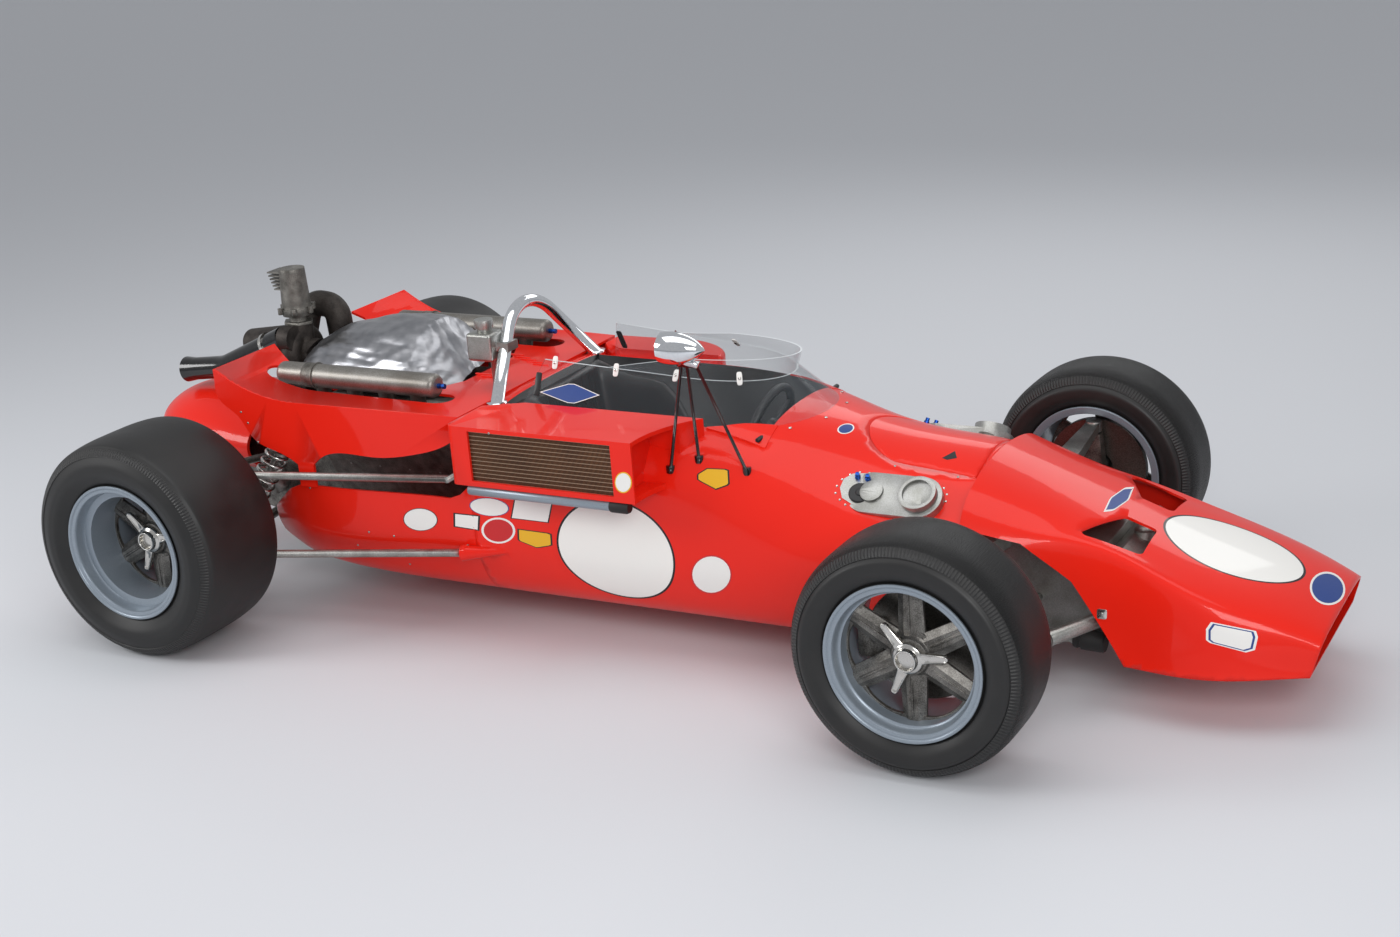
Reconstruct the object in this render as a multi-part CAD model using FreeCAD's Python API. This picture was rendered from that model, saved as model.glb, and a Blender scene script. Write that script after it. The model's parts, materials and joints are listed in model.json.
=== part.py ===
import FreeCAD, Part
import math
import os

# Open wheel racing car with a rear engine, in millimetres.
# Stations run along X from the front axle, forwards positive. Y is to the car's left and Z up
# from the floor. Every shape is made in that frame and moved at the end, so that the
# middle of the whole car stands over the origin.

V = FreeCAD.Vector
X_AXIS = V(1, 0, 0)
Y_AXIS = V(0, 1, 0)
Z_AXIS = V(0, 0, 1)
ORIGIN = V(0, 0, 0)

# Main lengths
WHEELBASE = 2442
NOSE_REACH = 870
TAIL_REACH = 560
FRONT_TRACK = 1446
REAR_TRACK = 1470
REAR_AXLE = -WHEELBASE
TAIL_TIP = REAR_AXLE - TAIL_REACH

# Gaps between pieces that are made apart
SEAT_GAP = 0.3
RUNNING_GAP = 6.0

# Wheels and tyres
RIM_LIP_R = 208.0
BEAD_R = 190.5
RIM_WALL = 6.0
FRONT_RIM_W = 238.0
REAR_RIM_W = 325.0
FRONT_TYRE_R = 314.0
REAR_TYRE_R = 336.0
FRONT_TYRE_W = 256.0
REAR_TYRE_W = 352.0
TYRE_WALL = 11.0
TREAD_WALL = 16.0
FRONT_DISH = 62.0
REAR_DISH = 140.0
FRONT_STEP = (34.0, 174.0)
REAR_STEP = (46.0, 160.0)
SPIDER_THICK = 20.0
SPOKES = 6
SPOKE_ROOT_W = 58.0
SPOKE_TIP_W = 44.0
SPOKE_RIB_W = 14.0
SPOKE_RIB_H = 7.0
HUB_R = 46.0
HUB_BORE_R = 26.0
HUB_BOSS = 10.0
DISC_THICK = 22.0
FRONT_DISC_R = 150.0
REAR_DISC_R = 134.0
NUT_R = 34.0
NUT_LENGTH = 30.0
NUT_BORE_R = 22.0
NUT_EARS = 3
EAR_REACH = 106.0
EAR_THICK = 14.0
FRONT_WHEEL_Y = FRONT_TRACK / 2
REAR_WHEEL_Y = REAR_TRACK / 2
AXLE_Z_FRONT = FRONT_TYRE_R
AXLE_Z_REAR = REAR_TYRE_R

# Hull of the tub and nose
SKIN = 8.0
SEAM_X = -45.0
TUB_REAR = -1512.0
FLOOR_Z = 108.0
HULL_TOP = 692.0
COCKPIT_FRONT = -640.0
COCKPIT_REAR = -1468.0
COCKPIT_HALF = 262.0
COCKPIT_FLOOR = 150.0
COCKPIT_WALL = 22.0
FOOTWELL_REAR = -1000.0
FOOTWELL_FRONT = -110.0
LEG_HALF = 215.0
KINGPIN_IN = 75.0
BULKHEAD_HALF = 190.0
BULKHEAD_FRONT = 290.0
TANK_FRONT = 440.0
TANK_HALF = 200.0

# Sections of the tub: station, then crown height, half width, waist height, fullness,
# half width of the floor and floor height
TUB_STATIONS = [
    (SEAM_X, (591, 370, 330, 1.70, 245, FLOOR_Z)),
    (-250, (612, 395, 330, 1.70, 260, FLOOR_Z)),
    (-450, (641, 404, 335, 1.90, 268, FLOOR_Z)),
    (-620, (676, 408, 338, 2.40, 270, FLOOR_Z)),
    (-790, (690, 412, 340, 3.20, 270, FLOOR_Z)),
    (-1100, (HULL_TOP, 418, 350, 4.00, 272, FLOOR_Z)),
    (TUB_REAR, (HULL_TOP - 2, 428, 350, 4.40, 272, FLOOR_Z)),
]

# Nose: station, crown height, shoulder half width and height, sill half width and height
NOSE_FRONT_DROP = 28.0
NOSE_STATIONS = [
    (SEAM_X, 591, 345, 440, 395, 240),
    (120, 533, 305, 420, 345, 160),
    (234, 490, 272, 425, 322, 145),
    (405, 427, 268, 385, 318, 140),
    (579, 373, 290, 318, 336, 142),
    (760, 317, 262, 262, 288, 148),
    (NOSE_REACH, 264, 236, 222, 246, 150),
]

# Front arch: the skirt's edge from the seam down to the sill, seen from the side
ARCH_EDGE = [(-20, 470), (110, 440), (240, 345), (385, 140)]
NOSE_VENT_REAR = 234.0
NOSE_VENT_FRONT = 404.0
NOSE_VENT_INNER = 70.0
NOSE_VENT_OUTER = 232.0
NOSE_VENT_FILLET = 16.0

# Access hatch on the cowl
HATCH_THICK = 5.0
HATCH_CUT_GAP = 1.5
HATCH_FRONT = -60.0
HATCH_REAR = -420.0
HATCH_HALF = 160.0

# Screen: each outline has its front, ellipse length and half width, rear end and half width
# there, front height and climb towards the rear
SCREEN_BASE = (-522.0, 380.0, 292.0, -1440.0, 292.0, 640.0, 0.0)
SCREEN_JOINT = (-659.0, 264.0, 180.0, -1400.0, 212.0, 758.0, 0.07)
SCREEN_LIP = (-637.0, 300.0, 140.0, -1400.0, 160.0, 818.0, 0.0)
SCREEN_THICK = 5.0
SCREEN_TAIL = (-1408.0, -1345.0)
LIP_CUT = [(-875.0, 824.0), (-1175.0, 790.0)]

# Roll hoop, which leans back
HOOP_FOOT_X = -1487.0
HOOP_HALF = 281.0
HOOP_FOOT_Z = 683.0
HOOP_TOP_Z = 914.7
HOOP_CORNER_Y = 70.5
HOOP_BEND = 158.0
HOOP_LEAN = 0.254
HOOP_R = 19.0
HOOP_PAD_R = 30.0
HOOP_PAD_H = 8.0

# Header tank behind the hoop
HEADER_X = (-1628.0, -1541.0)
HEADER_Y = (-206.0, -126.0)
HEADER_Z = (782.0, 866.0)
HEADER_FILLET = 10.0
HEADER_NECK_R = 22.0
HEADER_CAP_R = 28.0
HEADER_CAP_H = 24.0
CLAMP_WIDE = 26.0

# Driver's seat, steering wheel, column and dash
SEAT_HALF = COCKPIT_HALF - 30.0
SEAT_WALL = 45.0
SEAT_TOP = 684.0
WHEEL_HUB = (-742.0, 0.0, 575.0)
COLUMN_TILT = 18.0
COLUMN_R = 12.0
COLUMN_REACH = 685.0
STEERING_R = 132.0
GRIP_R = 12.0
HAND_HUB_R = 38.0
HAND_HUB_H = 26.0
DASH_X = -654.0
DASH_THICK = 4.0
DASH_LOW = 455.0
DASH_TOP = 640.0

# Mirror on three struts
MIRROR_Y = -400.0
MIRROR_Z = 929.0
MIRROR_BACK = -849.0
MIRROR_TIP = -718.0
MIRROR_R = 45.0
MIRROR_FEET = [((-864, -381), -794), ((-790, -349), -776), ((-653, -333), -747)]
MIRROR_PLATE_Z = 884.0
STRUT_R = 4.5

# Filler plates on the shoulders
FILLER_X = (-385.0, -115.0)
FILLER_Y = 268.0
FILLER_Z = 522.0
FILLER_HALF_W = 64.0
FILLER_TILT = 37.0
FILLER_PLATE = 5.0
BIG_CAP_R = 52.0
SMALL_CAP_R = 32.0

# Radiator pod on the right
POD_FRONT = -830.0
POD_INNER = 292.0
POD_REAR = -1490.0
POD_OUTER = 540.0
POD_TOP = 700.0
POD_LOW = 526.0
POD_WALL = 7.0
POD_INTAKE_DEPTH = 110.0
CORE_REAR = -1418.0
CORE_FRONT = -955.0
CORE_TOP = 688.0
CORE_LOW = 541.0
CORE_THICK = 60.0
CORE_SET_IN = 8.0
CORE_ROOM = 150.0
PIPE_R = 12.5
PIPE_SET_IN = 45.0
PIPE_BEND = 30.0

# Fairing on the left shoulder, beside the seat
SHOULDER_INNER = 285.0
SHOULDER_OUTER = 436.0
SHOULDER_LOW = 575.0
SHOULDER_REAR = -1490.0
SHOULDER_TURN = -1200.0
SHOULDER_FRONT = -1042.0
SHOULDER_FILLET = 14.0

# Engine bay, engine and gearbox
BAY_REAR = -2270.0
BAY_STATIONS = [
    (TUB_REAR, (HULL_TOP - 2, 428, 350, 4.4, 272, FLOOR_Z)),
    (-1900, (HULL_TOP, 452, 350, 4.4, 265, 112)),
    (-2100, (HULL_TOP - 8, 455, 350, 4.4, 240, 122)),
    (BAY_REAR, (HULL_TOP - 16, 400, 345, 3.6, 205, 140)),
]
BAY_SIDE = [(TUB_REAR, 480), (-1551, 446), (-1592, 430), (-2036, 436), (-2120, 430), (-2167, 410),
            (-2267, 331), (-2270, 245), (-2216, 218), (-2043, 60), (TUB_REAR, 60)]
ENGINE_REAR = -2170.0
ENGINE_TOP = 640.0
GEARBOX_REAR = -2720.0
GEARBOX_HALF = 170.0
GEARBOX_END_HALF = 90.0

# Upper body beside the engine
COVER_TOP = HULL_TOP
COVER_SKIN = 8.0
COVER_FLARE = 3.1
COVER_SIDE_Y = 434.0
COVER_PILLAR = (-2040.0, -2096.0)
COVER_TIP = -2362.0
COVER_TIP_Z = 786.0
COVER_KNEE_X = -2210.0
COVER_RISE = 8.0
COVER_BEND = 500.0
COVER_OPEN_HALF = 235.0
COVER_OPEN_FRONT = -1700.0
PLENUM_R = 36.0
PLENUM_Y = 308.0
PLENUM_Z = 733.0
PLENUM_X = (-2251.0, -1669.0)
PLENUM_END_FILLET = 16.0
PLENUM_SLOT_R = 44.0
RUNNERS = 4
RUNNER_R = 22.0

# Heat blanket over the engine: station, half width and height
BLANKET_STATIONS = [(-2368, 105, 722), (-2300, 150, 782), (-2190, 200, 824), (-2070, 218, 850),
                    (-1900, 222, 864), (-1838, 214, 842), (-1735, 150, 718)]

# Turbocharger and exhaust
TURBO_X = -2420.0
TURBO_Z = 700.0
SCROLL_R = 60.0
SCROLL_TUBE_R = 34.0
HOUSING_R = 44.0
HOUSING_TOP = 798.0
WASTEGATE_Z = (850.0, 978.0)
WASTEGATE_LOW_R = 47.0
WASTEGATE_TOP_R = 41.0
WASTEGATE_NECK_R = 28.0
WASTEGATE_FLANGE_R = 55.0
WASTEGATE_LOBE_R = 9.0
WASTEGATE_LOBES = 6
WASTEGATE_FINS = 6
WASTEGATE_FIN_REACH = 34.0
WASTEGATE_FOOT = [(53, 0), (27, 38), (-27, 38), (-53, 0), (-27, -38), (27, -38)]
WASTEGATE_FOOT_H = 8.0
EXHAUST_R = 37.0
EXHAUST_WALL = 3.0
TRUMPET_R = 42.0
EXHAUST_PATH = [(-2440, -60, 762), (-2700, -60, 648), (-2845, -60, 631)]
EXHAUST_BEND = 160.0
ELBOW_R = 42.0
ELBOW_PATH = [(-2460, 70, 742), (-2456, 112, 838), (-2350, 112, 828), (-2342, 112, 722)]
ELBOW_BEND = 46.0
DRUM_R = 46.0
DRUM_PATH = [(-2440, 50, 735), (-2690, 64, 696)]

# Tail fairing: station, half width, lowest and highest point
TAIL_WALL = 12.0
TAIL_STATIONS = [
    (-2480, 262, 325, 560),
    (-2700, 240, 332, 580),
    (-2880, 175, 368, 562),
    (TAIL_TIP, 60, 415, 470),
]

# Front suspension and steering
KINGPIN_Y = FRONT_WHEEL_Y - KINGPIN_IN
UPPER_BALL_Z = 430.0
LOWER_BALL_Z = 205.0
EYE_R = 24.0
EYE_H = 32.0
PIN_R = 8.0
UPRIGHT_HALF = 22.0
UPRIGHT_DEEP = 32.0
ARM_ROOT_Y = BULKHEAD_HALF + SEAT_GAP
LOWER_LINK_R = 19.0
SLEEVE_R = 22.5
DRAG_X = 345.0
DRAG_Z = 240.0
TIE_X = 118.0
TIE_Z = 250.0
TIE_PIN_R = 5.0
TIE_EYE_R = 12.5
TIE_EYE_WALL = 6.0
TIE_EYE_H = 18.0
RACK_R = 9.0
RACK_GUIDE = 24.0
CALIPER_HALF = 46.0
STUB_R = HUB_BORE_R - SEAT_GAP

# Rear suspension
REAR_HUB_Y = REAR_WHEEL_Y - 150.0
REAR_UPRIGHT_THICK = 30.0
REAR_UPRIGHT_HALF = 60.0
REAR_UPRIGHT_Z = (180.0, 500.0)
LUG_Y = 512.0
ROD_R = 12.0
UPPER_ROD_FRONT = (-1560.0, 455.0, 505.0)
FAIRING_TIP = (-1396.0, 410.0, 284.0)
FAIRING_END = (-1554.0, 440.0, 272.0)
FAIRING_R = 25.0
SADDLE_R = 12.0
SADDLE_Z = REAR_UPRIGHT_Z[0] + 27.0
BAR_R = 12.0
BAR_Z = 585.0
SPRING_EYE_R = 14.0
SPRING_LOW = (REAR_AXLE + 46.0, 476.0, SADDLE_Z + SADDLE_R + SEAT_GAP + SPRING_EYE_R)
SPRING_TOP = (-2186.0, 405.0, BAR_Z - BAR_R - SEAT_GAP - SPRING_EYE_R)
SPRING_R = 30.0
SPRING_WIRE_R = 6.0
SPRING_TURNS = 7
SHAFT_R = 20.0


def vec(x, y, z):
    return V(float(x), float(y), float(z))


def box(x0, x1, y0, y1, z0, z1):
    """Block between two corners."""
    return Part.makeBox(x1 - x0, y1 - y0, z1 - z0, vec(x0, y0, z0))


def rod(start, end, radius):
    """Round bar from one point to another."""
    a = vec(*start)
    b = vec(*end)
    return Part.makeCylinder(radius, (b - a).Length, a, b - a)


def cone(start, end, first_r, last_r):
    """Round bar that narrows or widens on its way."""
    a = vec(*start)
    b = vec(*end)
    return Part.makeCone(first_r, last_r, (b - a).Length, a, b - a)


def tube(start, end, radius, wall):
    """Round pipe with open ends."""
    return rod(start, end, radius).cut(rod(start, end, radius - wall))


def between(start, end, share):
    """Point at a share of the way."""
    return tuple(a + (b - a) * share for a, b in zip(start, end))


def mirrored(shape):
    """The same piece on the other side of the car."""
    return shape.mirror(ORIGIN, Y_AXIS)


def both(shape):
    """Left and right copies as two solids of one node."""
    return Part.makeCompound([shape, mirrored(shape)])


def join(shapes):
    """One solid out of several that touch."""
    whole = shapes[0].multiFuse(shapes[1:])
    return whole.removeSplitter()


def largest(shape):
    """The biggest solid of a cut."""
    return max(shape.Solids, key=lambda s: s.Volume)


def polygon_face(points):
    corners = [vec(*p) for p in points]
    return Part.Face(Part.makePolygon(corners + [corners[0]]))


def prism(points, direction):
    """Solid swept from a flat outline along a vector."""
    return polygon_face(points).extrude(vec(*direction))


def side_prism(points, half):
    """Solid across the car from an outline seen from the side."""
    return prism([(x, -half, z) for x, z in points], (0, 2 * half, 0))


def plan_prism(points, low, high):
    """Upright solid from an outline seen from above."""
    return prism([(x, y, low) for x, y in points], (0, 0, high - low))


def loft_boxes(rings):
    """Straight sided solid through several flat outlines."""
    wires = []
    for ring in rings:
        corners = [vec(*p) for p in ring]
        wires.append(Part.makePolygon(corners + [corners[0]]))
    return Part.makeLoft(wires, True, True)


def block_ring(x, half, low, high):
    """Rectangle across the car at one station."""
    return [(x, -half, low), (x, half, low), (x, half, high), (x, -half, high)]


def bent_wire(points, bend):
    """Straight runs joined by tangent arcs of one radius."""
    corners = [vec(*p) for p in points]
    edges = []
    last = corners[0]
    for i in range(1, len(corners) - 1):
        here = corners[i]
        way_in = (here - corners[i - 1]).normalize()
        way_out = (corners[i + 1] - here).normalize()
        turn = way_in.getAngle(way_out)
        reach = bend * math.tan(turn / 2)
        start = here - way_in * reach
        end = here + way_out * reach
        middle_way = (way_out - way_in).normalize()
        middle = here + middle_way * (bend / math.cos(turn / 2) - bend)
        if (start - last).Length > 1e-3:
            edges.append(Part.LineSegment(last, start).toShape())
        edges.append(Part.Arc(start, middle, end).toShape())
        last = end
    if (corners[-1] - last).Length > 1e-3:
        edges.append(Part.LineSegment(last, corners[-1]).toShape())
    return Part.Wire(edges)


def bent_rod(points, bend, radius):
    """Round bar or pipe that follows straight runs and arcs."""
    path = bent_wire(points, bend)
    first = vec(*points[0])
    way = (vec(*points[1]) - first).normalize()
    ring = Part.Wire(Part.makeCircle(radius, first, way))
    return path.makePipeShell([ring], True, True)


def smooth_outline(points, x):
    """Closed outline at one station: a smooth half from the crown to the sill and its mirror,
    closed by the flat floor."""
    left = [vec(x, y, z) for y, z in points]
    right = [vec(x, -y, z) for y, z in points[1:]]
    right.reverse()
    line = right + left
    steps = [i / (len(line) - 1) for i in range(len(line))]
    curve = Part.BSplineCurve()
    curve.interpolate(Points=line, Parameters=steps)
    floor = Part.LineSegment(line[-1], line[0]).toShape()
    return Part.Wire([curve.toShape(), floor])


def hull_points(top, half, waist, fullness, floor_half, floor_z):
    """Crown as a quarter of a fat oval down to the waist, then a quarter ellipse to the sill."""
    points = []
    for i in range(6):
        turn = math.pi / 2 * i / 6
        y = half * math.sin(turn) ** (2 / fullness)
        z = waist + (top - waist) * math.cos(turn) ** (2 / fullness)
        points.append((y, z))
    for i in range(5):
        turn = math.pi / 2 * i / 4
        y = floor_half + (half - floor_half) * math.cos(turn)
        z = waist - (waist - floor_z) * math.sin(turn)
        points.append((y, z))
    return points


def inset(section, wall):
    """The same section with its walls taken in."""
    top, half, waist, fullness, floor_half, floor_z = section
    return (top - wall, half - wall, waist, fullness, floor_half - wall / 2, floor_z + wall)


def hull_loft(stations, wall=0.0):
    wires = []
    for x, section in stations:
        wires.append(smooth_outline(hull_points(*inset(section, wall)), x))
    return Part.makeLoft(wires, True, False)


def off_hull():
    """Hull of the tub grown by the seat gap, to cut what stands on it."""
    return hull_loft(TUB_STATIONS, -SEAT_GAP)


def hull_top(x, y):
    """Height of the tub's skin over a point."""
    line = Part.LineSegment(vec(x, y, FLOOR_Z + 200), vec(x, y, HULL_TOP + 200)).toShape()
    return line.common(hull_loft(TUB_STATIONS)).BoundBox.ZMax


def nose_points(top, shoulder_half, shoulder_z, sill_half, sill_z):
    """Flat topped section with a round shoulder and a leaning side."""
    side = sill_half - shoulder_half
    fall = shoulder_z - sill_z
    return [
        (0, top),
        (shoulder_half * 0.5, top - (top - shoulder_z) * 0.12),
        (shoulder_half * 0.85, top - (top - shoulder_z) * 0.45),
        (shoulder_half, shoulder_z),
        (shoulder_half + side * 0.5, shoulder_z - fall * 0.5),
        (sill_half, sill_z),
    ]


def nose_loft(wall=0.0):
    wires = []
    for x, top, shoulder_half, shoulder_z, sill_half, sill_z in NOSE_STATIONS:
        points = nose_points(top - wall, shoulder_half - wall, shoulder_z - wall * 0.6,
                             sill_half - wall, sill_z + wall)
        wires.append(smooth_outline(points, x))
    return Part.makeLoft(wires, True, False)


def nose_cone():
    """Hollow nose with its mouth at the front, the arch cut and two vents on top."""
    shell = nose_loft().cut(nose_loft(SKIN))
    lip = side_prism([(NOSE_REACH, 300), (NOSE_REACH, 262),
                      (NOSE_REACH - NOSE_FRONT_DROP * 1.6, 100), (NOSE_REACH + 100, 100),
                      (NOSE_REACH + 100, 300)], 400)
    arch = side_prism(ARCH_EDGE + [(ARCH_EDGE[-1][0], 0), (SEAM_X - 50, 0),
                                   (SEAM_X - 50, ARCH_EDGE[0][1])], 450)
    vent = nose_vent()
    return largest(shell.cut(lip).cut(arch).cut(vent).cut(mirrored(vent)))


def nose_vent():
    """Four sided hole in the top of the nose with round corners."""
    plan = [(NOSE_VENT_REAR, NOSE_VENT_OUTER), (NOSE_VENT_REAR + 84, NOSE_VENT_INNER),
            (NOSE_VENT_FRONT, NOSE_VENT_INNER), (NOSE_VENT_FRONT, NOSE_VENT_OUTER - 17)]
    hole = plan_prism(plan, 330, 700)
    upright = [e for e in hole.Edges if abs(e.Vertexes[0].Z - e.Vertexes[-1].Z) > 1]
    return hole.makeFillet(NOSE_VENT_FILLET, upright)


def nose_tank():
    """Oil tank behind the nose vents, standing against the front bulkhead."""
    rear = BULKHEAD_FRONT + SEAT_GAP
    side = [(rear, 158), (rear, 372), (rear + 40, 392), (TANK_FRONT, 335), (TANK_FRONT, 158)]
    body = side_prism(side, TANK_HALF).common(nose_loft(SKIN + SEAT_GAP))
    cap = rod((rear + 60, 0, 330), (rear + 60, 0, 398), 30)
    return join([body, cap])


def cockpit_void():
    """Room for the driver: the open well and the footwell under the cowl."""
    well = box(COCKPIT_REAR, COCKPIT_FRONT, -COCKPIT_HALF, COCKPIT_HALF, COCKPIT_FLOOR,
               HULL_TOP + 100)
    legs = box(FOOTWELL_REAR, FOOTWELL_FRONT, -LEG_HALF, LEG_HALF, COCKPIT_FLOOR, HULL_TOP)
    inner = hull_loft(TUB_STATIONS, COCKPIT_WALL)
    return well.fuse(legs.common(inner))


def front_bulkhead():
    """Foot box ahead of the tub, which carries the front suspension and guides the rack."""
    rear = SEAM_X + SEAT_GAP
    hull = loft_boxes([block_ring(rear, BULKHEAD_HALF, 120, 480),
                       block_ring(BULKHEAD_FRONT, BULKHEAD_HALF, 160, 400)])
    slot = rod((TIE_X, -400, TIE_Z), (TIE_X, 400, TIE_Z), RACK_R + RUNNING_GAP)
    guides = []
    for side in (-1, 1):
        guides.append(tube((TIE_X, side * (BULKHEAD_HALF - RACK_GUIDE), TIE_Z),
                           (TIE_X, side * BULKHEAD_HALF, TIE_Z),
                           RACK_R + RUNNING_GAP + 1, RUNNING_GAP + 1 - SEAT_GAP))
    body = hull.cut(slot).common(nose_loft(SKIN + SEAT_GAP))
    return join([body] + guides)


def floor_flat():
    """What lies under the flat floor, cut away so that jacks meet a true plane."""
    return box(TAIL_TIP, NOSE_REACH, -500, 500, 0, FLOOR_Z + 0.5)


def column_way():
    turn = math.radians(COLUMN_TILT)
    return vec(-math.cos(turn), 0, math.sin(turn))


def column_bore(radius):
    """Round bar along the steering column, longer than the column at both ends."""
    hub = vec(*WHEEL_HUB)
    way = column_way()
    return Part.makeCylinder(radius, COLUMN_REACH + SEAT_GAP, hub, way * -1)


def tub():
    """Tub with the cockpit, the hatch opening and the fairings of the lower radius rods."""
    hull = hull_loft(TUB_STATIONS)
    fairing = cone(FAIRING_END, FAIRING_TIP, FAIRING_R, 4)
    hull = join([hull, fairing, mirrored(fairing)])
    hull = hull.cut(hull_loft(BAY_STATIONS, -SEAT_GAP))
    hull = hull.cut(cockpit_void()).cut(hatch_footprint(HATCH_CUT_GAP).cut(hatch_floor()))
    hull = hull.cut(column_bore(COLUMN_R + SEAT_GAP)).cut(floor_flat())
    return largest(hull)


def hatch_footprint(grow=0.0):
    """D shaped outline of the access hatch, as an upright prism."""
    half = HATCH_HALF + grow
    front = HATCH_FRONT + grow
    straight = HATCH_REAR + half * 0.8
    low = FLOOR_Z + 200
    a = vec(front, -half, low)
    b = vec(front, half, low)
    c = vec(straight, half, low)
    d = vec(straight, -half, low)
    back = vec(HATCH_REAR - grow, 0, low)
    edges = [Part.LineSegment(a, b).toShape(), Part.LineSegment(b, c).toShape(),
             Part.Arc(c, back, d).toShape(), Part.LineSegment(d, a).toShape()]
    return Part.Face(Part.Wire(edges)).extrude(vec(0, 0, HULL_TOP))


def hatch_floor():
    return hull_loft(TUB_STATIONS).translated(vec(0, 0, -HATCH_THICK))


def cowl_hatch():
    """Lid over the footwell, seated on the ledge of its opening."""
    top = hull_loft(TUB_STATIONS).common(hatch_footprint())
    return top.cut(hatch_floor().translated(vec(0, 0, SEAT_GAP)))


def screen_loop(front, reach, half, rear, rear_half, z, climb):
    """U shaped outline: half an ellipse at the front and straight sides, rising rearwards."""
    middle = front - reach
    points = []
    for i in range(7):
        turn = math.pi / 2 * i / 6
        x = middle + reach * math.cos(turn)
        points.append(vec(x, half * math.sin(turn), z + climb * (front - x)))
    right = [vec(p.x, -p.y, p.z) for p in points[1:]]
    right.reverse()
    curve = Part.BSplineCurve()
    curve.interpolate(right + points)
    side = vec(rear, rear_half, z + climb * (front - rear))
    other = vec(rear, -rear_half, side.z)
    return Part.Wire([curve.toShape(), Part.LineSegment(points[-1], side).toShape(),
                      Part.LineSegment(side, other).toShape(),
                      Part.LineSegment(other, right[0]).toShape()])


def taken_in(outline, thick):
    """The inner outline of the sheet, in the same plane as the outer one."""
    front, reach, half, rear, rear_half, z, climb = outline
    return (front - thick, reach, half - thick, rear - 50, rear_half - thick, z + climb * thick, climb)


def screen_sheet(low, high):
    """Sheet between two outlines, open behind."""
    outer = Part.makeLoft([screen_loop(*low), screen_loop(*high)], True, True)
    inner = Part.makeLoft([screen_loop(*taken_in(low, SCREEN_THICK)),
                           screen_loop(*taken_in(high, SCREEN_THICK))], True, True)
    return outer.cut(inner)


def raised(outline, rise):
    return outline[:5] + (outline[5] + rise, outline[6])


def windscreen():
    sheet = screen_sheet(SCREEN_BASE, SCREEN_JOINT)
    low, high = SCREEN_TAIL
    tail = side_prism([(low, 600), (low, HULL_TOP - 10), (high, 830), (low - 60, 830),
                       (low - 60, 600)], 400)
    return largest(sheet.cut(off_hull()).cut(tail))


def wind_deflector():
    """Turned up lip on the front of the screen, which runs out along the sides."""
    sheet = screen_sheet(raised(SCREEN_JOINT, SEAT_GAP), SCREEN_LIP)
    (x0, z0), (x1, z1) = LIP_CUT
    over = side_prism([(x0, z0), (x1, z1), (x1 - 300, z1), (x1 - 300, 900), (x0, 900)], 400)
    behind = side_prism([(x1, 700), (x1, 900), (x1 - 300, 900), (x1 - 300, 700)], 400)
    return largest(sheet.cut(over).cut(behind))


def hoop_point(y, z):
    return (HOOP_FOOT_X - HOOP_LEAN * (z - HOOP_FOOT_Z), y, z)


def hoop_bar(radius, foot_z):
    """The bent bar alone, its legs leaning in and back."""
    slope = (HOOP_HALF - HOOP_CORNER_Y) / (HOOP_TOP_Z - HOOP_FOOT_Z)
    foot_y = HOOP_HALF + slope * (HOOP_FOOT_Z - foot_z)
    points = [hoop_point(-foot_y, foot_z), hoop_point(-HOOP_CORNER_Y, HOOP_TOP_Z),
              hoop_point(HOOP_CORNER_Y, HOOP_TOP_Z), hoop_point(foot_y, foot_z)]
    return bent_rod(points, HOOP_BEND, radius)


def roll_hoop():
    """Chromed hoop on two foot pads, with a thin stay behind each leg."""
    bar = hoop_bar(HOOP_R, HOOP_FOOT_Z - 40)
    parts = [bar]
    for side in (-1, 1):
        x, y, z = hoop_point(side * HOOP_HALF, HOOP_FOOT_Z)
        parts.append(rod((x, y, HOOP_FOOT_Z - 60), (x, y, HOOP_FOOT_Z + HOOP_PAD_H), HOOP_PAD_R))
    whole = join(parts).cut(off_hull())
    deck = box(TUB_REAR - 200, TUB_REAR + SEAT_GAP, -500, 500, 0, COVER_TOP + SEAT_GAP)
    return largest(whole.cut(deck))


def header_tank():
    """Small alloy tank clamped to one leg of the hoop, its outlet on the deck below."""
    x0, x1 = HEADER_X
    y0, y1 = HEADER_Y
    z0, z1 = HEADER_Z
    tank = box(x0, x1, y0, y1, z0, z1)
    tank = tank.makeFillet(HEADER_FILLET, tank.Edges)
    cx = (x0 + x1) / 2
    cy = (y0 + y1) / 2
    neck = rod((cx, cy, z1 - 5), (cx, cy, z1 + 12), HEADER_NECK_R)
    cap = rod((cx, cy, z1 + 12), (cx, cy, z1 + 12 + HEADER_CAP_H), HEADER_CAP_R)
    slope = COVER_RISE / (TUB_REAR - COVER_KNEE_X)
    deck = COVER_TOP + slope * (TUB_REAR - cx + 2) + SEAT_GAP
    outlet = rod((cx + 10, cy + 22, deck), (cx + 10, cy + 22, z0 + 5), 12)
    clamp_z = (z0 + z1) / 2
    share = (clamp_z - HOOP_FOOT_Z) / (HOOP_TOP_Z - HOOP_FOOT_Z)
    clamp_y = HOOP_HALF - share * (HOOP_HALF - HOOP_CORNER_Y)
    hx, hy, hz = hoop_point(-clamp_y, clamp_z)
    block = box(x1 - 20, hx + HOOP_R + 6, hy - HOOP_R - 8, hy + HOOP_R + 8,
                clamp_z - CLAMP_WIDE / 2, clamp_z + CLAMP_WIDE / 2)
    whole = join([tank, neck, cap, outlet, block])
    return whole.cut(hoop_bar(HOOP_R + SEAT_GAP, HOOP_FOOT_Z - 40))


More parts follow.
